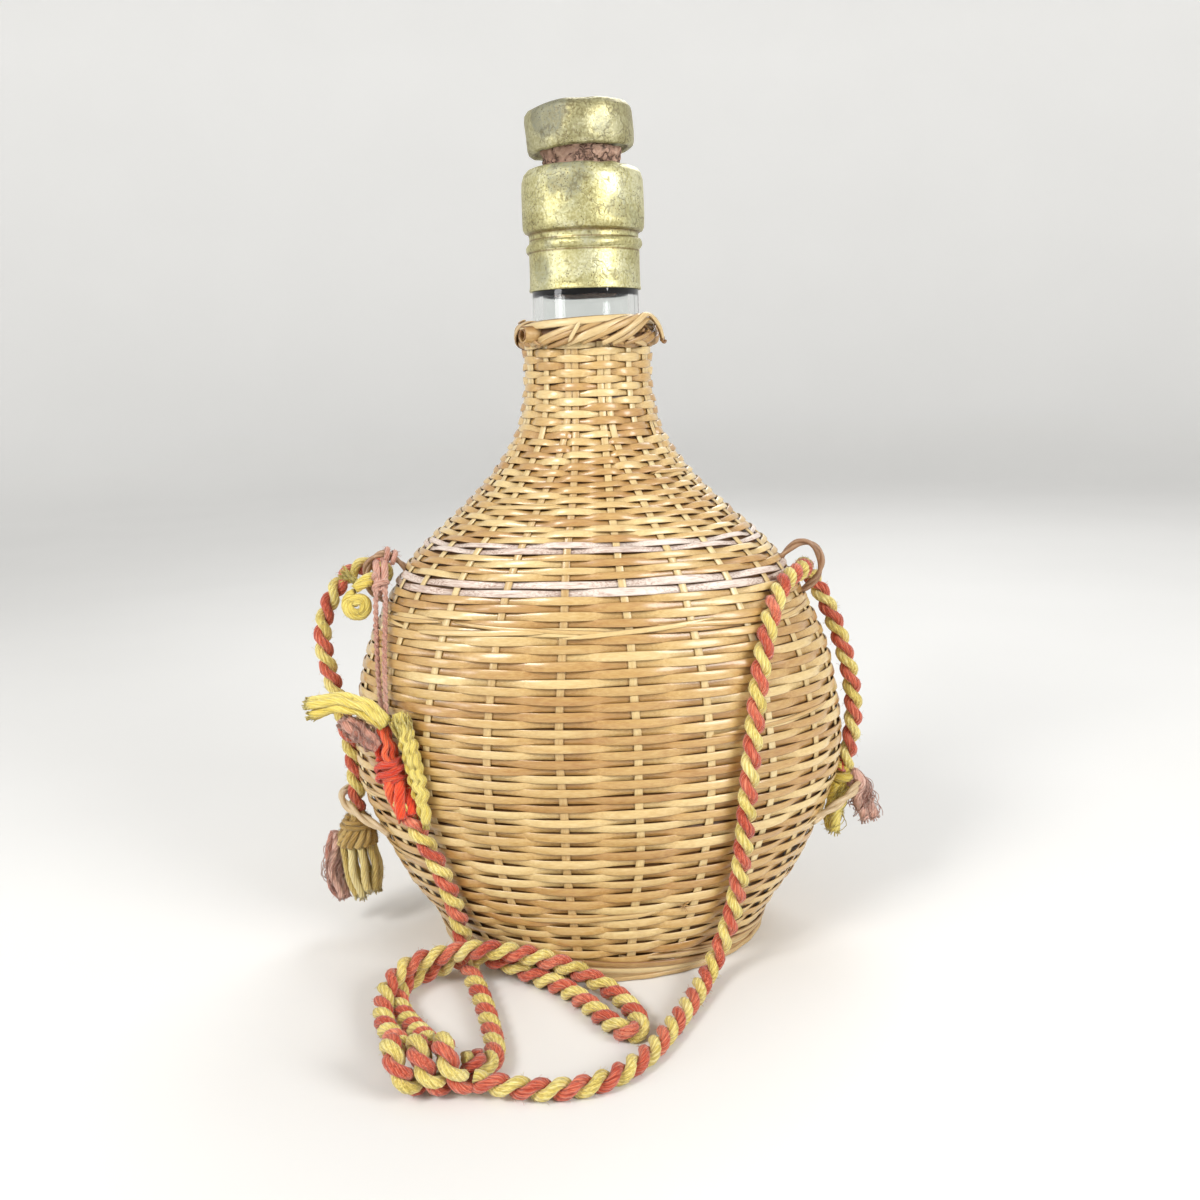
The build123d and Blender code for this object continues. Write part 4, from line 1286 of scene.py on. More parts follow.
def make_capsule():
    """Thin foil over the finish and the neck's top: bruised, its bead and hems a little uneven."""
    bm = new_mesh()
    profile = [
        (15.12, 190.7), (15.8, 190.55), (15.9, 190.9), (15.7, 191.6), (15.65, 194.0), (15.6, 197.0),
        (15.6, 200.6), (15.65, 201.3), (16.1, 201.6), (16.4, 202.1), (16.4, 202.9), (16.1, 203.5),
        (15.6, 203.8), (15.4, 204.5), (15.4, 205.7), (15.7, 206.2), (16.6, 206.6), (17.05, 207.5),
        (17.15, 210.0), (17.15, 214.0), (17.1, 218.0), (16.95, 220.2), (16.4, 221.9), (15.4, 223.0),
        (14.2, 223.5),
        (12.6, 223.6), (11.7, 223.5), (11.6, 223.15), (13.6, 223.08), (16.5, 220.4), (16.53, 208.4),
        (15.12, 206.4),
    ]
    lathe(bm, profile, 144, cuts=2, closed=True)
    dent = 0.13 * MM
    bead_low, bead_high, top = 199 * MM, 206 * MM, 222.6 * MM
    for vert in bm.verts:
        radius, out = off_axis(vert)
        reach = clamped((radius - 15.3 * MM) / (0.3 * MM))
        bruise = noise.noise(vert.co * 130) * dent
        bruise += noise.noise(vert.co * 420 + Vector((4, 0, 0))) * dent * 0.3
        vert.co += out * (bruise * reach)
        if bead_low < vert.co.z < bead_high:
            angle = math.atan2(vert.co.y, vert.co.x)
            vert.co.z += reach * (0.5 * MM * math.cos(angle + 0.5) + 0.25 * MM * math.cos(3 * angle + 1))
        if vert.co.z > top:
            vert.co.z += 0.3 * MM * noise.noise(vert.co * 300)
    make_piece("capsule", bm, [finishes["capsule"]], "gilt_capsule", ["neck_capsule"])


def make_cork():
    """The tapered cork, smooth in the bore and crumbled where it stands proud of the mouth."""
    bm = new_mesh()
    profile = [
        (0, 189.0), (4, 189.0), (8.4, 189.0), (9.0, 189.6), (9.5, 197), (10.2, 205), (10.3, 212),
        (10.25, 219), (10.2, 223.3), (10.4, 224.2), (10.7, 225.2), (10.9, 226.4), (11.0, 227.6),
        (11.0, 228.6), (6, 228.7), (0, 228.7),
    ]
    lathe(bm, profile, 112, cuts=3)
    mouth = 223.6 * MM
    rough_up(bm, 0.55 * MM, 1.3 * MM, 3, mouth)
    rough_up(bm, 0.8 * MM, 3.6 * MM, 5, mouth)
    make_piece("cork", bm, [finishes["cork"]], "cork", ["cork_stopper"], body="stopper")


def make_stopper_head():
    """The gilded head, lumpy at its rim and top, sitting askew on the cork."""
    bm = new_mesh()
    profile = [
        (0, 1.5), (8.0, 1.5), (11.9, 1.5), (12.6, 1.0), (13.0, 0.25), (13.8, 0.0), (14.6, 0.5),
        (14.95, 1.6), (15.1, 4.0), (15.1, 6.5), (15.0, 9.0), (14.7, 10.4), (13.9, 11.4), (12.6, 11.95),
        (11.4, 12.0), (10.8, 11.75), (10.2, 11.5), (6.0, 11.4), (0, 11.35),
    ]
    lathe(bm, profile, 128, cuts=2)
    top, hem = 9 * MM, 1.2 * MM
    for vert in bm.verts:
        radius, out = off_axis(vert)
        if radius < WELD:
            continue
        edge = clamped((radius - 12.4 * MM) / MM)
        vert.co += out * (noise.noise(vert.co * 110 + Vector((9, 0, 0))) * 0.55 * MM * edge)
        if vert.co.z > top:
            vert.co.z += noise.noise(vert.co * 150 + Vector((2, 7, 0))) * 0.7 * MM
        if vert.co.z < hem:
            vert.co.z += noise.noise(vert.co * 210 + Vector((5, 1, 0))) * 0.6 * MM * edge
    askew = Matrix.Translation((0, 0, HEAD_HEIGHT)) @ Matrix.Rotation(HEAD_TILT, 4, "Y")
    bmesh.ops.transform(bm, matrix=askew, verts=bm.verts)
    make_piece("stopper_head", bm, [finishes["head"]], "gilt_cap", ["stopper_cap"], body="stopper")


# Twigs

# Points of a ring or loop: how far it stands out, how far along the basket's depth and how far up, as shares
RING_SHARES = [
    (-0.08, -0.1, 0.33), (0.48, -0.11, 0.85), (0.9, -0.12, 1.0), (1.0, -0.11, 0.65),
    (0.785, -0.095, 0.0), (0.41, -0.082, -0.62), (-0.09, -0.07, -1.0),
]
LOOP_SHARES = [
    (-0.04, -0.385, -0.92), (0.42, -0.34, -0.25), (0.85, -0.23, 0.5), (1.01, -0.08, 0.9),
    (0.84, 0.09, 0.82), (0.46, 0.22, 0.55), (0.045, 0.31, 0.25),
]


# Each twig's shares, its height, reach and rise in millimetres, as in the source
RING = (RING_SHARES, 110.0, 12.5, 7.8)
LOOP = (LOOP_SHARES, 40.0, 9.0, 4.0)
TWIG_LAY = 17 * MM


def twig_route(side, shares, height, reach, rise):
    """The bent twig's points in millimetres, off the basket's wall. side is 1 at the right, -1 left."""
    points = []
    for stand_share, depth_share, rise_share in shares:
        z = height + rise * rise_share
        half_width, half_depth = (size / MM for size in half_sizes(z * MM))
        wall = half_width * math.sqrt(1 - depth_share ** 2)
        points.append((side * (wall + reach * stand_share), half_depth * depth_share, z))
    return points


def make_twig(name, side, twig, radius, tone, finish):
    """Two thin twigs twisted together and bent into a ring or loop."""
    bm = new_mesh()
    line = spline_line(name, twig_route(side, *twig), 12)
    square = frames(line)
    lengths = travel(line)
    for strand, share in enumerate((0.0, 0.5)):
        path = []
        for point, (across, up), reached in zip(line, square, lengths):
            turn = TAU * (share + reached / TWIG_LAY)
            path.append(point + (across * math.cos(turn) + up * math.sin(turn)) * (radius * 0.48))
        seed = tone * 10 + strand * 3

        def size(along):
            knuckle = noise.noise(Vector((along * 9, seed, 0)))
            return radius * (0.64 + 0.1 * knuckle)

        tube(bm, path, size, 8, tone + 0.2 * strand)
    make_piece(name, bm, [finishes[finish]], "twig", [name])


def make_twigs():
    for word, side, tone in (("right", 1, 0.3), ("left", -1, 0.5)):
        make_twig(f"ring_upper_{word}", side, RING, 1.1 * MM, tone, "twig")
        make_twig(f"loop_lower_{word}", side, LOOP, 1.3 * MM, tone, "twig_pale")


# The strap

# The routes of its stretches, in millimetres. STRAP_FRONT and STRAP_RIGHT both start on the right ring, where
# they are joined.
STRAP_FRONT = [
    (62.0, -3.0, 109.6), (60.6, -9.4, 110.0), (56.4, -16.6, 109.8), (52.6, -23.2, 108.6),
    (49.6, -28.8, 104.8), (46.9, -33.8, 98.4), (44.5, -38.0, 89.6), (42.8, -41.2, 79.6),
    (41.2, -43.4, 67.0), (39.9, -44.0, 54.0), (38.9, -43.2, 41.0), (37.6, -41.8, 28.0),
    (35.4, -40.4, 16.6), (32.0, -41.4, 8.2), (28.4, -46.8, 4.2), (23.6, -57.2, 2.8), (16.8, -71.0, 2.75),
    (9.6, -84.4, 2.75), (-0.8, -94.6, 2.75), (-12.6, -97.3, 2.75), (-23.0, -96.4, 3.4), (-32.0, -95.6, 5.0),
]
STRAP_RIGHT = [
    (62.0, -3.0, 109.6), (63.0, 3.2, 109.2), (66.0, 6.0, 105.4), (69.6, 4.8, 98.8),
    (73.2, 1.6, 89.4), (76.4, -1.2, 77.4), (77.6, -2.6, 66.0), (76.6, -3.0, 56.4), (74.4, -3.2, 46.6),
]
STRAP_LEFT_FRONT = [
    (-55.4, -36.6, 54.0), (-51.9, -38.6, 47.8), (-48.6, -39.2, 41.4), (-45.4, -39.4, 34.8),
    (-43.0, -38.8, 27.4), (-41.4, -37.4, 20.4), (-40.4, -35.6, 12.8), (-39.4, -36.4, 6.4),
    (-37.6, -42.0, 3.1), (-34.6, -50.4, 2.75), (-31.9, -60.6, 2.75), (-29.7, -70.4, 2.75),
    (-28.0, -79.0, 2.8), (-28.2, -86.0, 3.4), (-30.4, -90.6, 5.6), (-34.6, -92.2, 7.4),
]
STRAP_LEFT = [
    (-62.0, -3.0, 110.8), (-62.0, 2.6, 111.6), (-65.4, 5.6, 112.6), (-70.6, 6.0, 112.4),
    (-75.2, 4.4, 109.4), (-79.4, 1.4, 103.2), (-81.8, -1.4, 94.6), (-81.0, -2.6, 86.4), (-78.8, -3.2, 77.4),
    (-76.4, -3.4, 67.8), (-74.8, -3.4, 58.4), (-74.0, -3.4, 48.6), (-74.6, -3.4, 37.0),
]
FLOOR_BIGHT = [
    (-48.6, -87.0, 8.0), (-52.1, -81.2, 7.2), (-56.2, -72.8, 5.4), (-58.8, -64.0, 4.8), (-59.4, -55.4, 6.2),
    (-57.0, -48.6, 8.2), (-52.4, -44.6, 9.2), (-46.6, -43.2, 9.8), (-40.4, -43.4, 11.2), (-34.4, -44.6, 12.2),
    (-28.8, -44.2, 11.4), (-23.0, -43.2, 9.8), (-16.8, -43.6, 8.2), (-10.6, -45.0, 6.6), (-5.0, -47.4, 4.8),
    (0.6, -51.4, 3.2), (5.2, -58.2, 2.75), (8.1, -65.6, 2.75), (8.6, -71.0, 2.75), (6.4, -74.2, 2.75),
    (3.0, -71.4, 2.75), (-1.4, -64.4, 2.75), (-6.2, -56.4, 2.75), (-11.2, -49.8, 2.75),
    (-16.6, -45.2, 2.8), (-22.0, -42.0, 3.5), (-27.2, -39.8, 5.2), (-32.4, -39.8, 7.2),
    (-37.4, -38.6, 7.4), (-43.2, -37.6, 5.0), (-49.0, -38.6, 3.2), (-54.0, -41.8, 2.75),
    (-56.8, -47.4, 2.75), (-56.2, -54.6, 2.75), (-53.6, -61.8, 3.0), (-50.0, -70.0, 4.6),
    (-46.2, -78.4, 6.8), (-43.6, -85.0, 9.0),
]
STRING_OUTER = [
    (-62.6, -8.4, 113.4), (-62.8, -12.0, 109.0), (-62.4, -17.4, 101.6), (-61.6, -23.6, 91.6),
    (-60.6, -28.8, 79.4), (-59.4, -31.8, 72.0),
]
STRING_INNER = [
    (-60.4, -8.2, 113.2), (-60.0, -12.8, 108.6), (-59.4, -19.0, 101.6), (-59.2, -25.8, 91.6),
    (-58.8, -30.8, 79.6), (-58.2, -33.4, 72.2),
]

# The knot on the ground: a coil of the strap, in millimetres, as in the source
KNOT_TURNS = 3
KNOT_PITCH = 6.2
KNOT_RADIUS = 4.7
KNOT_LEAN = 1.6
KNOT_START = (-51.6, -92.4)
KNOT_POINTS_A_TURN = 12

# Shares of a stray fibre's length at which its path has a point, and the radii of stray and cut fibres
STRAY_SHARES = (0.0, 0.35, 0.7, 1.0)
STRAY_ON_YARN, STRAY_ON_STRAP, CUT_END = 0.045 * MM, 0.04 * MM, 0.16 * MM
# How far a yarn's ribs stand out, as a share of its radius, on its own and in the strap
RIB_ON_YARN, RIB_IN_STRAP = 0.055, 0.04
YARN_TURNS_A_METRE = 60
FLOOR_CLEARANCE = 0.1 * MM


def knot_route():
    """The turns of the knot's coil about an axis along X, in millimetres."""
    points = []
    for k in range(KNOT_TURNS * KNOT_POINTS_A_TURN + 1):
        turn = k / KNOT_POINTS_A_TURN
        angle = TAU * turn
        points.append((
            KNOT_START[0] + KNOT_PITCH * turn - KNOT_LEAN * math.sin(angle),
            KNOT_START[1] + KNOT_RADIUS * math.cos(angle),
            KNOT_RADIUS + STRAP_DIAMETER / MM / 2 + KNOT_RADIUS * math.sin(angle),
        ))
    return points


def stray_fibre(base, lean, out, rise, size):
    """The path of a fibre that leaves the yarn at base, runs off along lean and curls outwards."""
    return [base + (lean * share + out * (rise * share * share)) * size for share in STRAY_SHARES]


def ply(bm, line, radius, tone, seed, fuzz, brush=0, finish=0):
    """One thick spun yarn, ribbed, with fuzz stray fibres and, at its far end, a brush of cut ones."""
    square = frames(line)
    lengths = travel(line)
    total = lengths[-1]
    rings = [0] + list(range(len(line))) + [len(line) - 1]
    sides = YARN_RIBS * 3

    def point_at(k, turn, grow):
        size = radius(lengths[k] / total) if callable(radius) else radius
        across, up = square[k]
        angle = turn + TAU * YARN_TURNS_A_METRE * lengths[k]
        return line[k] + (across * math.cos(angle) + up * math.sin(angle)) * (size * grow)

    def place(i, j):
        rib = RIB_ON_YARN * math.cos(TAU * YARN_RIBS * j / sides)
        grow = 0.0 if i in (0, len(rings) - 1) else 1 + rib
        return point_at(rings[i], TAU * j / sides, grow)

    skin(bm, len(rings) - 1, sides, place, [lengths[k] for k in rings], tone, finish)
    dice = random.Random(1000 + seed)
    for _ in range(fuzz):
        k, turn = dice.randrange(1, len(line) - 1), dice.uniform(0, TAU)
        base = point_at(k, turn, 0.96)
        out = (base - line[k]).normalized()
        ahead = (line[k + 1] - line[k - 1]).normalized()
        size = dice.uniform(0.5, 1.6) * MM
        lean = ahead * dice.uniform(-1, 1) + out.cross(ahead) * dice.uniform(-1, 1)
        path = stray_fibre(base, lean, out, 0.6, size)
        tube(bm, path, STRAY_ON_YARN, 3, dice.random(), finish=finish)
    ahead = (line[-1] - line[-2]).normalized()
    for _ in range(brush):
        base = point_at(len(line) - 1, dice.uniform(0, TAU), dice.uniform(0.2, 0.95))
        lean = (base - line[-1]).normalized() * dice.uniform(0.1, 0.5) + ahead
        size = dice.uniform(0.5, 1.5) * MM
        path = [base - ahead * MM, base, base + lean * size * 0.6, base + lean * size]
        tube(bm, path, CUT_END, 4, dice.random(), finish=finish)


def twist_strands(bm, line, diameter, lay, start, fuzz, sides=YARN_RIBS * 4):
    """Two strands laid up round the line, S-wise, their yarns nearly in line with it, with stray fibres.

    start turns the first strand, so that each stretch shows its colours as the last one left them.
    """
    square = frames(line)
    lengths = travel(line)
    rings = [0] + list(range(len(line))) + [len(line) - 1]

    def strand_point(k, strand, turn, grow):
        angle = start + math.pi * strand - TAU * lengths[k] / lay
        across, up = square[k]
        out = across * math.cos(angle) + up * math.sin(angle)
        over = up * math.cos(angle) - across * math.sin(angle)
        swell = 1 + 0.05 * noise.noise(Vector((lengths[k] / lay * 2, strand * 5, start)))
        return (line[k] + out * (diameter * (0.245 + 0.255 * math.cos(turn) * grow) * swell)
                + over * (diameter * 0.325 * math.sin(turn) * grow))

    for strand in (0, 1):
        def place(i, j):
            k = rings[i]
            rib = RIB_IN_STRAP * math.cos(TAU * YARN_RIBS * j / sides)
            grow = 0.0 if i in (0, len(rings) - 1) else 1 + rib
            return strand_point(k, strand, TAU * (j / sides + 1.5 * lengths[k] / lay), grow)

        def tone(i):
            return 0.5 + 0.5 * noise.noise(Vector((i * 0.05, strand * 7, start)))

        skin(bm, len(rings) - 1, sides, place, [lengths[k] for k in rings], tone, finish=strand)

    dice = random.Random(int(lengths[-1] * 1e6))
    for _ in range(fuzz):
        k = dice.randrange(2, len(line) - 8)
        strand, turn = dice.randrange(2), dice.uniform(-1.3, 1.3)
        base = strand_point(k, strand, turn, 0.97)
        out = (base - line[k]).normalized()
        ahead = (line[k + 2] - line[k]).normalized()
        sideways = out.cross(ahead) * dice.uniform(-1, 1)
        size = dice.uniform(0.5, 1.7) * MM
        lean = ahead * dice.uniform(-1, 1) + sideways
        path = stray_fibre(base, lean, out, 0.5, size)
        if min(point.z for point in path) > FLOOR_CLEARANCE:
            tube(bm, path, STRAY_ON_STRAP, 3, dice.random(), finish=strand)


def make_strap(name, route, length, nodes, start):
    """One stretch of the strap. route is in millimetres, length in metres."""
    line = spline_line(name, route, 14)
    bm = new_mesh()
    fuzz = int(length / MM * STRAP_FIBRES_A_MM)
    twist_strands(bm, line, STRAP_DIAMETER * SLACK_SHARE, STRAP_LAY, start, fuzz)
    piece = make_piece(name, bm, [finishes["yellow"], finishes["red"]], "strap", nodes)
    [c * MM for c in route[0]]


def make_string(name, route):
    """A thin string of two rosy strands. route is in millimetres."""
    line = spline_line(name, route, 10)
    bm = new_mesh()
    twist_strands(bm, line, STRING_DIAMETER, STRING_LAY, 0.4, fuzz=40, sides=12)
    piece = make_piece(name, bm, [finishes["rosy"], finishes["rosy"]], "rosy_yarn", [name])
    [c * MM for c in route[0]]


# Knots, tufts and tassels: bundles of spun yarn. Each has its middle line's points and its radii along it, in
# millimetres, as in the source.

TUFTS = {
    "knot_left_red": (
        [(-59.4, -32.8, 73.4), (-59.2, -33.2, 70.4), (-58.8, -33.8, 66.4), (-58.0, -34.8, 62.0),
         (-56.4, -36.0, 57.6), (-54.8, -36.8, 54.2), (-53.2, -38.4, 49.2)],
        [1.6, 2.8, 3.6, 4.4, 4.0, 3.0, 2.4]),
    "tuft_left_gold": (
        [(-54.8, -35.4, 78.0), (-53.2, -36.2, 73.6), (-51.6, -37.4, 67.4), (-50.2, -38.4, 60.4),
         (-48.9, -39.4, 53.6), (-47.9, -40.4, 47.6)],
        [1.2, 2.6, 2.9, 2.8, 2.2, 1.2]),
    "tuft_left_yellow": (
        [(-58.4, -34.2, 74.6), (-61.6, -34.4, 78.4), (-67.0, -34.4, 80.8), (-73.0, -34.4, 81.2),
         (-78.6, -33.8, 79.4)],
        [1.8, 2.4, 2.6, 2.9, 3.1]),
    "tuft_left_pink": (
        [(-61.2, -33.6, 68.0), (-64.0, -33.8, 70.8), (-67.2, -34.0, 73.4), (-69.8, -34.0, 75.6)],
        [1.6, 2.7, 2.9, 2.2]),
    "tassel_left": (
        [(-74.4, -3.4, 38.0), (-74.6, -3.6, 34.0), (-75.0, -3.8, 28.4), (-75.0, -4.0, 22.0),
         (-74.6, -4.2, 15.6), (-74.4, -4.2, 12.0)],
        [3.0, 5.4, 7.0, 7.4, 6.6, 5.0]),
    "tassel_left_pink": (
        [(-81.6, -2.4, 31.0), (-82.6, -3.0, 26.6), (-83.0, -4.0, 19.6), (-81.8, -4.2, 13.6),
         (-80.8, -4.2, 11.0)],
        [1.4, 2.2, 3.0, 2.6, 1.4]),
    "knot_right": (
        [(74.9, -3.2, 48.0), (74.6, -3.4, 46.0), (74.2, -3.6, 43.6), (73.4, -3.8, 41.2)],
        [2.4, 3.6, 3.6, 2.4]),
    "tassel_right_pink": (
        [(76.4, -4.2, 46.4), (78.4, -4.4, 43.2), (79.8, -4.7, 37.6), (81.4, -5.0, 32.0)],
        [1.6, 3.0, 3.4, 3.3]),
    "tassel_right_yellow": (
        [(73.0, -3.8, 42.8), (72.0, -4.0, 39.2), (71.4, -4.2, 33.4), (70.8, -4.4, 28.2)],
        [2.2, 3.0, 3.1, 2.9]),
}

# The tufts that are yarns side by side: how many and how thick in millimetres, how far out in the bundle as a
# share, waves along them and their reach in millimetres, turns of the bundle, and thin wisps round it
BUNDLES = {
    "tuft_left_yellow": (5, 1.15, 0.68, 2.5, 0.25, 0.1, 0),
    "tuft_left_pink": (4, 1.1, 0.6, 1.5, 0.4, 0.1, 50),
    "tassel_left_pink": (4, 1.1, 0.65, 1.5, 0.4, 0.1, 70),
    "tassel_right_pink": (3, 1.5, 0.55, 1.5, 0.5, 0.3, 70),
    "tassel_right_yellow": (2, 1.6, 0.5, 1.5, 0.4, 0.3, 20),
}


def share_of(values, share):
    """The value at a share of the way along a list, with straight steps between."""
    place = share * (len(values) - 1)
    k = min(int(place), len(values) - 2)
    return values[k] + (values[k + 1] - values[k]) * (place - k)


def fibres(bm, line, radii, count, thick, seed, twist, waves, ragged):
    """Many thin yarn ends along one line. radii are the bundle's half widths in metres.

    twist is in turns, waves says how far the ends stray, ragged how much shorter the shortest is, as a share.
    """
    dice = random.Random(seed)
    square = frames(line)
    lengths = travel(line)
    total = lengths[-1]
    for _ in range(count):
        reach = math.sqrt(dice.uniform(0.0, 1.0))
        start = dice.uniform(0, TAU)
        sway = dice.uniform(0, 99)
        stop = len(line) - int(dice.uniform(0, ragged) * len(line))
        path = []
        for k in range(min(max(stop, 4), len(line))):
            share = lengths[k] / total
            angle = start + twist * TAU * share + waves * noise.noise(Vector((share * 3, sway, 0)))
            stray = 1 + 0.25 * waves * noise.noise(Vector((share * 4, sway, 5)))
            out = reach * share_of(radii, share) * stray
            across, up = square[k]
            path.append(line[k] + across * (math.cos(angle) * out) + up * (math.sin(angle) * out))
        size = thick * dice.uniform(0.75, 1.2)
        tube(bm, path, size, 5, dice.random())


def coil_line(line, radii, turns, steps):
    """A helix of so many turns round the line, its radius following radii."""
    square = frames(line)
    points = []
    for k in range(steps + 1):
        share = k / steps
        place = share * (len(line) - 1)
        n = min(int(place), len(line) - 2)
        centre = line[n].lerp(line[n + 1], place - n)
        across, up = square[n]
        angle = TAU * turns * share
        radius = share_of(radii, share)
        points.append(centre + across * (math.cos(angle) * radius) + up * (math.sin(angle) * radius))
    return points


def tuft_line(name, steps):
    """A tuft's middle line and its radii in metres."""
    points, radii = TUFTS[name]
    return spline_line(name, points, steps), [radius * MM for radius in radii]


def beside(line, radii, angle, share, turns=0.0):
    """A line that runs at that share of the bundle's radius from its middle, turning round it."""
    last = len(line) - 1
    path = []
    for k, (point, (across, up)) in enumerate(zip(line, frames(line))):
        turned = angle + turns * TAU * k / last
        out = across * math.cos(turned) + up * math.sin(turned)
        path.append(point + out * (share_of(radii, k / last) * share))
    return path


def crimped(line, reach, waves, seed):
    """The line with small waves in it, as in yarn that has been untwisted."""
    last = len(line) - 1
    path = []
    for k, (point, (across, up)) in enumerate(zip(line, frames(line))):
        wave = TAU * waves * k / last
        off = across * math.sin(wave + seed) + up * math.cos(wave * 0.8 + seed)
        path.append(point + off * (reach * min(1.0, 4 * k / last)))
    return path


def stretch(line, start, stop):
    """The part of a line from one share of its points to another, both in hundredths."""
    return line[len(line) * start // 100:len(line) * stop // 100]


def make_red_knot(bm):
    """Loose red yarn that runs down into a wound ball, with thick ends in an S under it."""
    line, radii = tuft_line("knot_left_red", 10)
    upper_strands, thick_ends, layers = 7, 4, 4
    for strand in range(upper_strands):
        out = 0.62 if strand else 0.1
        path = beside(stretch(line, 0, 50), radii[:4], TAU * strand / upper_strands, out)
        ply(bm, crimped(path, 0.35 * MM, 2.0, strand), 0.85 * MM, 0.2 + 0.1 * strand, 60 + strand, fuzz=30)
    for strand in range(thick_ends):
        angle = 2.4 + TAU * strand / thick_ends
        path = beside(stretch(line, 55, 100), [2.0 * MM, 2.6 * MM, 2.4 * MM], angle, 0.9, 0.35)
        ply(bm, path, 1.5 * MM, 0.2 + 0.2 * strand, 70 + strand, fuzz=40, brush=10)
    for layer in range(layers):
        size = 3.9 - 0.75 * layer
        radii = [(size - 1.4) * MM, size * MM, (size + 0.3) * MM, size * MM, (size - 1.6) * MM]
        wraps = coil_line(stretch(line, 36, 70), radii, 3.2 + 0.6 * layer, 130)
        path = crimped(wraps, 0.35 * MM, 9 + layer, layer)
        ply(bm, path, 0.72 * MM, 0.15 + 0.25 * layer, 5 + layer, fuzz=90)


def make_gold_tuft(bm):
    """The strap's yellow strand, unravelled into crimped yarns, with a spray of thin ends at its top."""
    line, radii = tuft_line("tuft_left_gold", 10)
    yarns = 6
    for strand in range(yarns):
        path = beside(line, radii, TAU * strand / yarns + 0.5, 0.55)
        path = crimped(path, 0.42 * MM, 8.0, strand * 0.7)
        ply(bm, path, tapered(0.95, -0.25), 0.2 + 0.14 * strand, 30 + strand, fuzz=50, brush=14)
    spikes = list(reversed(line[:len(line) // 3]))
    fibres(bm, spikes, [1.6 * MM, 2.8 * MM, 3.6 * MM], 70, 0.2 * MM, 36, twist=0.1, waves=0.6, ragged=0.5)


def make_tassel(bm):
    """A dome of fuzzy yarn over thick, straight strands with cut ends, tied round with a band."""
    line, radii = tuft_line("tassel_left", 8)
    below = line[len(line) // 4:]
    spread = [radius * 0.72 for radius in radii[1:]]
    outer, inner, dome_yarns = 9, 3, 14
    for strand in range(outer + inner):
        count, out = (outer, 0.95) if strand < outer else (inner, 0.35)
        path = beside(below, spread, TAU * strand / count + 0.3, out)
        path = crimped(path, 0.22 * MM, 1.5, strand)
        path = [point + Vector((1.6 * MM * k / len(path), 0, 0)) for k, point in enumerate(path)]
        stop = len(path) - (strand * 5 % 4)
        ply(bm, path[:stop], tapered(0.95, 0.25), (strand * 0.37) % 1, 90 + strand, fuzz=30, brush=26)
    dome = [1.4 * MM, 3.6 * MM, 5.2 * MM, 5.6 * MM]
    for strand in range(dome_yarns):
        path = beside(line[:len(line) * 2 // 5], dome, TAU * strand / dome_yarns, 0.95, 0.14)
        ply(bm, path, tapered(0.7, 0.35), (strand * 0.29) % 1, 110 + strand, fuzz=70, finish=1)
    band = coil_line(line[2:7], [3.2 * MM, 4.8 * MM], 2.2, 70)
    ply(bm, band, 0.7 * MM, 0.3, 14, fuzz=200, finish=1)


def make_rosette(bm):
    """A yarn end that curls round on itself, with a short run down to it from the ring."""
    centre = Vector((-68.4, -11.2, 103.6)) * MM
    line = spline_line("curl_run", [
        (-62.0, -5.4, 110.4), (-63.6, -8.4, 111.0), (-66.2, -10.4, 110.6), (-69.0, -11.4, 108.4),
    ], 8)
    for strand in range(2):
        path = beside(line, [1.1 * MM] * 2, 3.1 * strand, 0.8, 0.4)
        ply(bm, path, 1.1 * MM, 0.4 + 0.3 * strand, 10 + strand, fuzz=20)
    turns, windings, steps = [], 2.2, 71
    for k in range(steps + 1):
        share = k / steps
        angle = math.radians(100) + TAU * windings * share
        radius = (3.9 - 3.1 * share ** 1.05) * MM
        forward = -0.8 * MM * share + 0.3 * MM * math.sin(3 * angle)
        turns.append(centre + Vector((math.cos(angle) * radius, forward, math.sin(angle) * radius)))
    ply(bm, turns, tapered(1.25, -0.35), 0.6, 61, fuzz=70)
    for strand, (x, z) in enumerate(((-73.6, 113.4), (-72.2, 115.0), (-74.4, 111.0))):
        end = spline_line(
            "curl_end", [(-68.6, -8.0, 109.6), (-71.4, -9.6, 112.0 + strand * 0.4), (x, -10.0, z)], 6
        )
        fibres(
            bm, end, [1.0 * MM, 1.0 * MM, 1.3 * MM], 14, 0.14 * MM, 62 + strand,
            twist=0.5, waves=1.2, ragged=0.4,
        )


def make_right_knot(bm):
    """The strap's own end, wound round itself over the right tassels."""
    line, radii = tuft_line("knot_right", 8)
    wraps = coil_line(line, [radius * 0.62 for radius in radii], 1.7, 60)
    ply(bm, wraps, 1.4 * MM, 0.6, 16, fuzz=50)
    ply(bm, line, 1.6 * MM, 0.4, 17, fuzz=10)


def make_hitch(bm):
    """The strings' turns round the twig ring, with the knot under it."""
    ring = spline_line("ring_run", twig_route(-1, *RING), 10)
    turns = coil_line(stretch(ring, 10, 28), [1.6 * MM, 1.7 * MM], 2.0, 80)
    ply(bm, turns, 0.75 * MM, 0.4, 81, fuzz=40)
    for side in (-1.2, 1.2):
        leg = spline_line("hitch_leg", [
            (-62.4 + side, -4.6, 115.0), (-61.9 + side, -7.4, 115.2), (-61.6 + side, -9.0, 113.4),
            (-61.5 + side * 0.9, -10.2, 110.6), (-61.4 + side * 0.5, -12.6, 107.8),
        ], 8)
        ply(bm, leg, 1.0 * MM, 0.5, 83, fuzz=24)
    knot = spline_line(
        "hitch_knot", [(-61.7, -9.8, 112.0), (-61.6, -11.2, 109.8), (-61.4, -12.8, 107.8)], 8
    )
    wraps = coil_line(knot, [1.7 * MM, 1.9 * MM, 1.5 * MM], 1.4, 60)
    ply(bm, wraps, 0.8 * MM, 0.6, 82, fuzz=30)


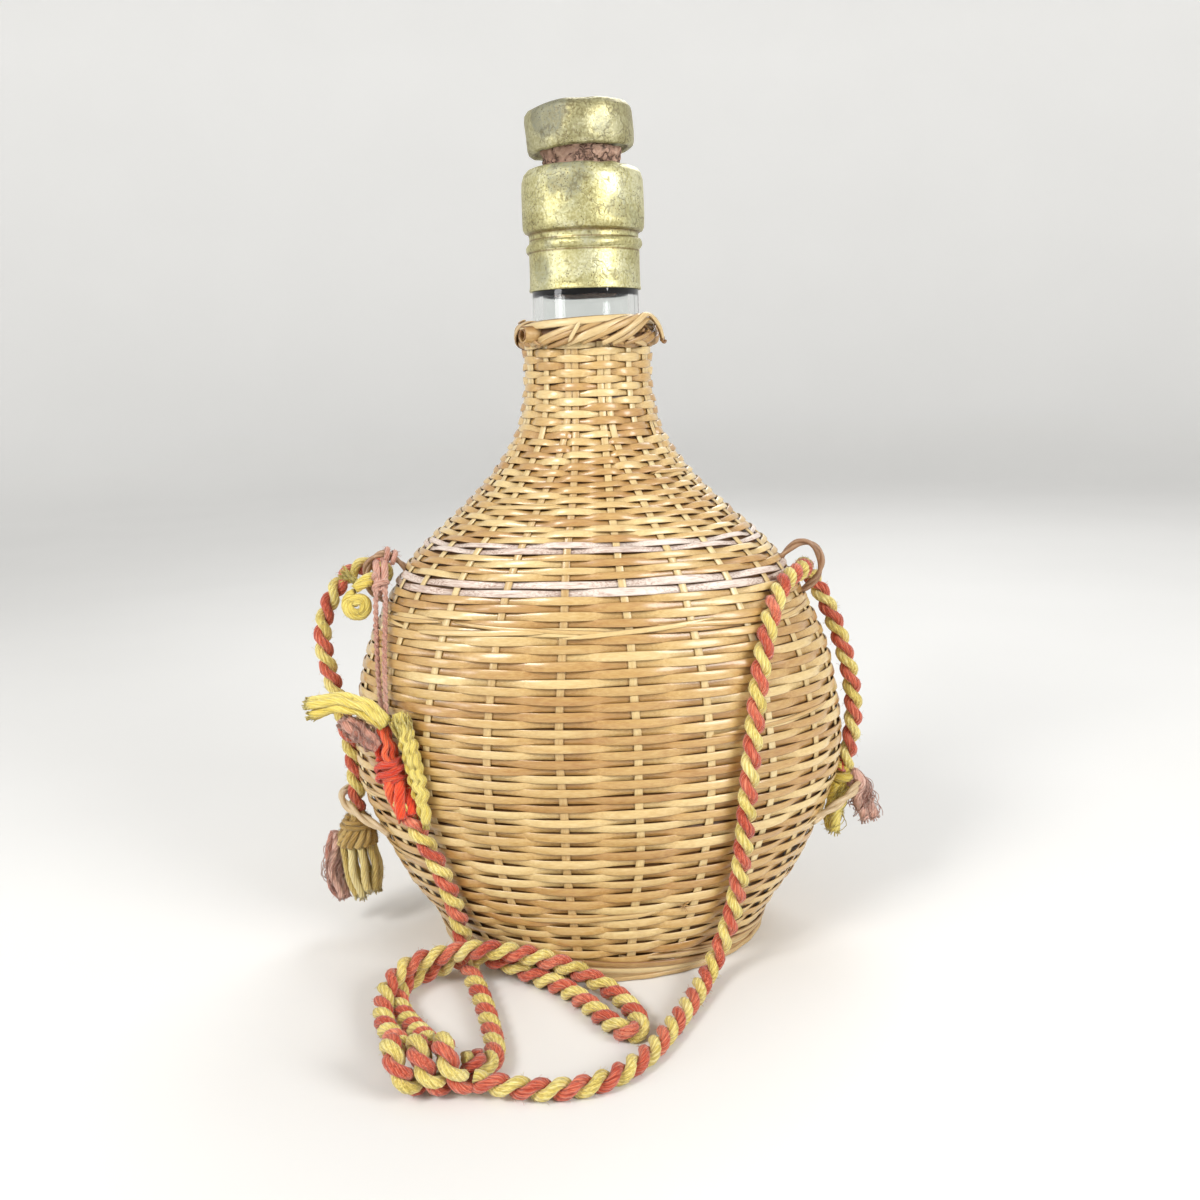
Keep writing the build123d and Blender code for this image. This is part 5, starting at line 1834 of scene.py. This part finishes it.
def make_bundle(bm, name, count, thick, spread, waves, reach, turns, wisps):
    """So many thick yarns side by side, wavy, with brushed ends. The numbers are those of BUNDLES."""
    line, radii = tuft_line(name, 8)
    for strand in range(count):
        path = beside(line, radii, TAU * strand / count + 0.4, spread, turns)
        path = crimped(path, reach * MM, waves, strand)
        ply(bm, path, thick * MM, (strand + 0.5) / count, strand, fuzz=len(path), brush=26)
    wide = [radius * 1.2 for radius in radii]
    fibres(bm, line, wide, wisps, 0.12 * MM, 59, twist=0.8, waves=2.4, ragged=0.3)


# Each tuft's finishes and slot, and the maker of those that aren't bundles
TUFT_LOOKS = {
    "knot_left_red": (["scarlet"], "red_yarn"),
    "tuft_left_gold": (["bright"], "yellow_yarn"),
    "tuft_left_yellow": (["bright"], "yellow_yarn"),
    "tuft_left_pink": (["rosy"], "rosy_yarn"),
    "curl_left": (["bright"], "yellow_yarn"),
    "tassel_left": (["straw", "olive"], "yellow_yarn"),
    "tassel_left_pink": (["rosy"], "rosy_yarn"),
    "knot_right": (["bright"], "strap"),
    "tassel_right_pink": (["rosy"], "rosy_yarn"),
    "tassel_right_yellow": (["bright"], "yellow_yarn"),
}
TUFT_MAKERS = {
    "knot_left_red": make_red_knot, "tuft_left_gold": make_gold_tuft, "curl_left": make_rosette,
    "tassel_left": make_tassel, "knot_right": make_right_knot,
}


def make_tufts():
    """Every knot, tuft and tassel as a piece of its own, by name."""
    pieces = {}
    for name, (colours, slot) in TUFT_LOOKS.items():
        bm = new_mesh()
        if name in BUNDLES:
            make_bundle(bm, name, *BUNDLES[name])
        else:
            TUFT_MAKERS[name](bm)
        pieces[name] = make_piece(name, bm, [finishes[colour] for colour in colours], slot, [name])
    bm = new_mesh()
    make_hitch(bm)
    pieces["string_hitch"] = make_piece("string_hitch", bm, [finishes["rosy"]], "rosy_yarn")
    return pieces


def make_cords(tufts):
    """The strap's stretches and the strings. tufts, the pieces at their ends, is not used."""

    make_strap(
        "strap_right_front", STRAP_RIGHT[:0:-1] + STRAP_FRONT, 0.300, ["strap_right", "strap_front"], 0.0,
    )
    make_strap(
        "strap_left_front", STRAP_LEFT_FRONT, 0.1127, ["strap_left_front"], 0.8,
    )
    make_strap(
        "strap_left", STRAP_LEFT, 0.0961, ["strap_left"], 2.0,
    )
    make_strap("strap_floor_bight", FLOOR_BIGHT, 0.2532, ["strap_floor_bight"], 1.0)
    make_strap("knot_on_ground", knot_route(), 0.0899, ["knot_on_ground"], 0.0)
    make_string("string_left_outer", STRING_OUTER)
    make_string("string_left_inner", STRING_INNER)


# The scene

set_camera()
groups = {
    "grain": make_grain_group(), "mottle": make_mottle_group(), "pits": make_pit_group(),
    "cracks": make_crack_group(),
}
set_world()
set_lamps()
set_floor()
finishes = {
    "cane": cane("cane", srgb(164, 116, 58), srgb(194, 157, 95), srgb(222, 197, 140), gloss=0.9,
                 stain=srgb(160, 110, 56), edge_shade=0.55, tones=0.48, stained=0.42),
    "stake": cane("stake_cane", srgb(176, 138, 84), srgb(208, 180, 124), srgb(232, 214, 166), gloss=0.6),
    "rod": cane("split_rod", srgb(136, 96, 50), srgb(180, 144, 90), srgb(214, 190, 140), gloss=0.35,
                tones=0.55, edge_shade=0.75),
    # Dark browns of painted shade: the liner behind the weave and the core under the neck border
    "inner": cane("inner_cane_painted_shade", srgb(84, 54, 28), srgb(108, 74, 40), srgb(130, 94, 54), gloss=0.0),
    "bark": cane("bark_rod", srgb(104, 68, 58), srgb(188, 160, 144), srgb(222, 208, 196), gloss=0.3,
                 along=2.2, across=18.0, streaks=1.2, tones=0.2, stained=0.3,
                 places=(0.42, 0.6, 0.86), edge_shade=0.6),
    "twig": cane("twig_bark", srgb(84, 58, 42), srgb(136, 100, 72), srgb(176, 142, 108), gloss=0.15,
                 along=4.0, across=6.0, streaks=0.75, tones=0.3, stained=0.5),
    "twig_pale": cane("twig_pale", srgb(128, 100, 74), srgb(190, 164, 124), srgb(216, 194, 156), gloss=0.15,
                      along=4.0, across=6.0, streaks=0.7, tones=0.3, stained=0.4),
    "yellow": yarn("yellow_yarn", srgb(158, 130, 54), srgb(232, 210, 108), srgb(253, 242, 176)),
    "red": yarn("red_yarn", srgb(128, 38, 24), srgb(202, 82, 56), srgb(238, 152, 120)),
    "bright": yarn("bright_yellow_yarn", srgb(176, 144, 44), srgb(234, 208, 88), srgb(250, 236, 146)),
    "scarlet": yarn("scarlet_yarn", srgb(176, 26, 10), srgb(244, 74, 34), srgb(252, 136, 84)),
    "rosy": yarn("rosy_yarn", srgb(166, 100, 84), srgb(222, 164, 142), srgb(242, 208, 190)),
    "olive": yarn("olive_yarn", srgb(150, 114, 54), srgb(206, 168, 92), srgb(232, 204, 134)),
    "straw": yarn("straw_yarn", srgb(180, 148, 72), srgb(240, 216, 136), srgb(252, 240, 182)),
    "capsule": gilt(
        "gilt_capsule", srgb(146, 134, 82), srgb(190, 184, 132), srgb(222, 220, 184), srgb(140, 146, 130),
        [((-4.5, -16.0, 220.5), 7.0, 0.5), ((9.0, -14.0, 212.0), 3.5, 0.3),
         ((-12.0, -10.0, 196.0), 4.0, 0.3), ((2.0, -16.0, 204.0), 3.0, 0.35)],
        groove_shades=[(206.0, 0.7), (204.3, 0.35), (201.0, 0.4)],
    ),
    "head": gilt(
        "gilt_head", srgb(124, 114, 74), srgb(166, 160, 118), srgb(202, 198, 162), srgb(112, 120, 114),
        [((-9.0, -11.5, 236.5), 7.5, 0.55), ((6.0, -14.0, 233.0), 3.0, 0.3),
         ((1.0, -6.0, 240.0), 7.0, 0.45)],
    ),
    "cork": crumbly_cork(),
    "glass": clear_glass(),
}

make_cords(make_tufts())
weave_covering()
set_stakes()
make_foot_border()
make_base_mat()
make_neck_border()
make_border_roll()
make_border_bulge()
make_capsule()
make_cork()
make_stopper_head()
make_twigs()

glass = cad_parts["glass_flask"]
glass.data.materials.clear()
glass.data.materials.append(finishes["glass"])

scene.view_settings.view_transform = "Standard"
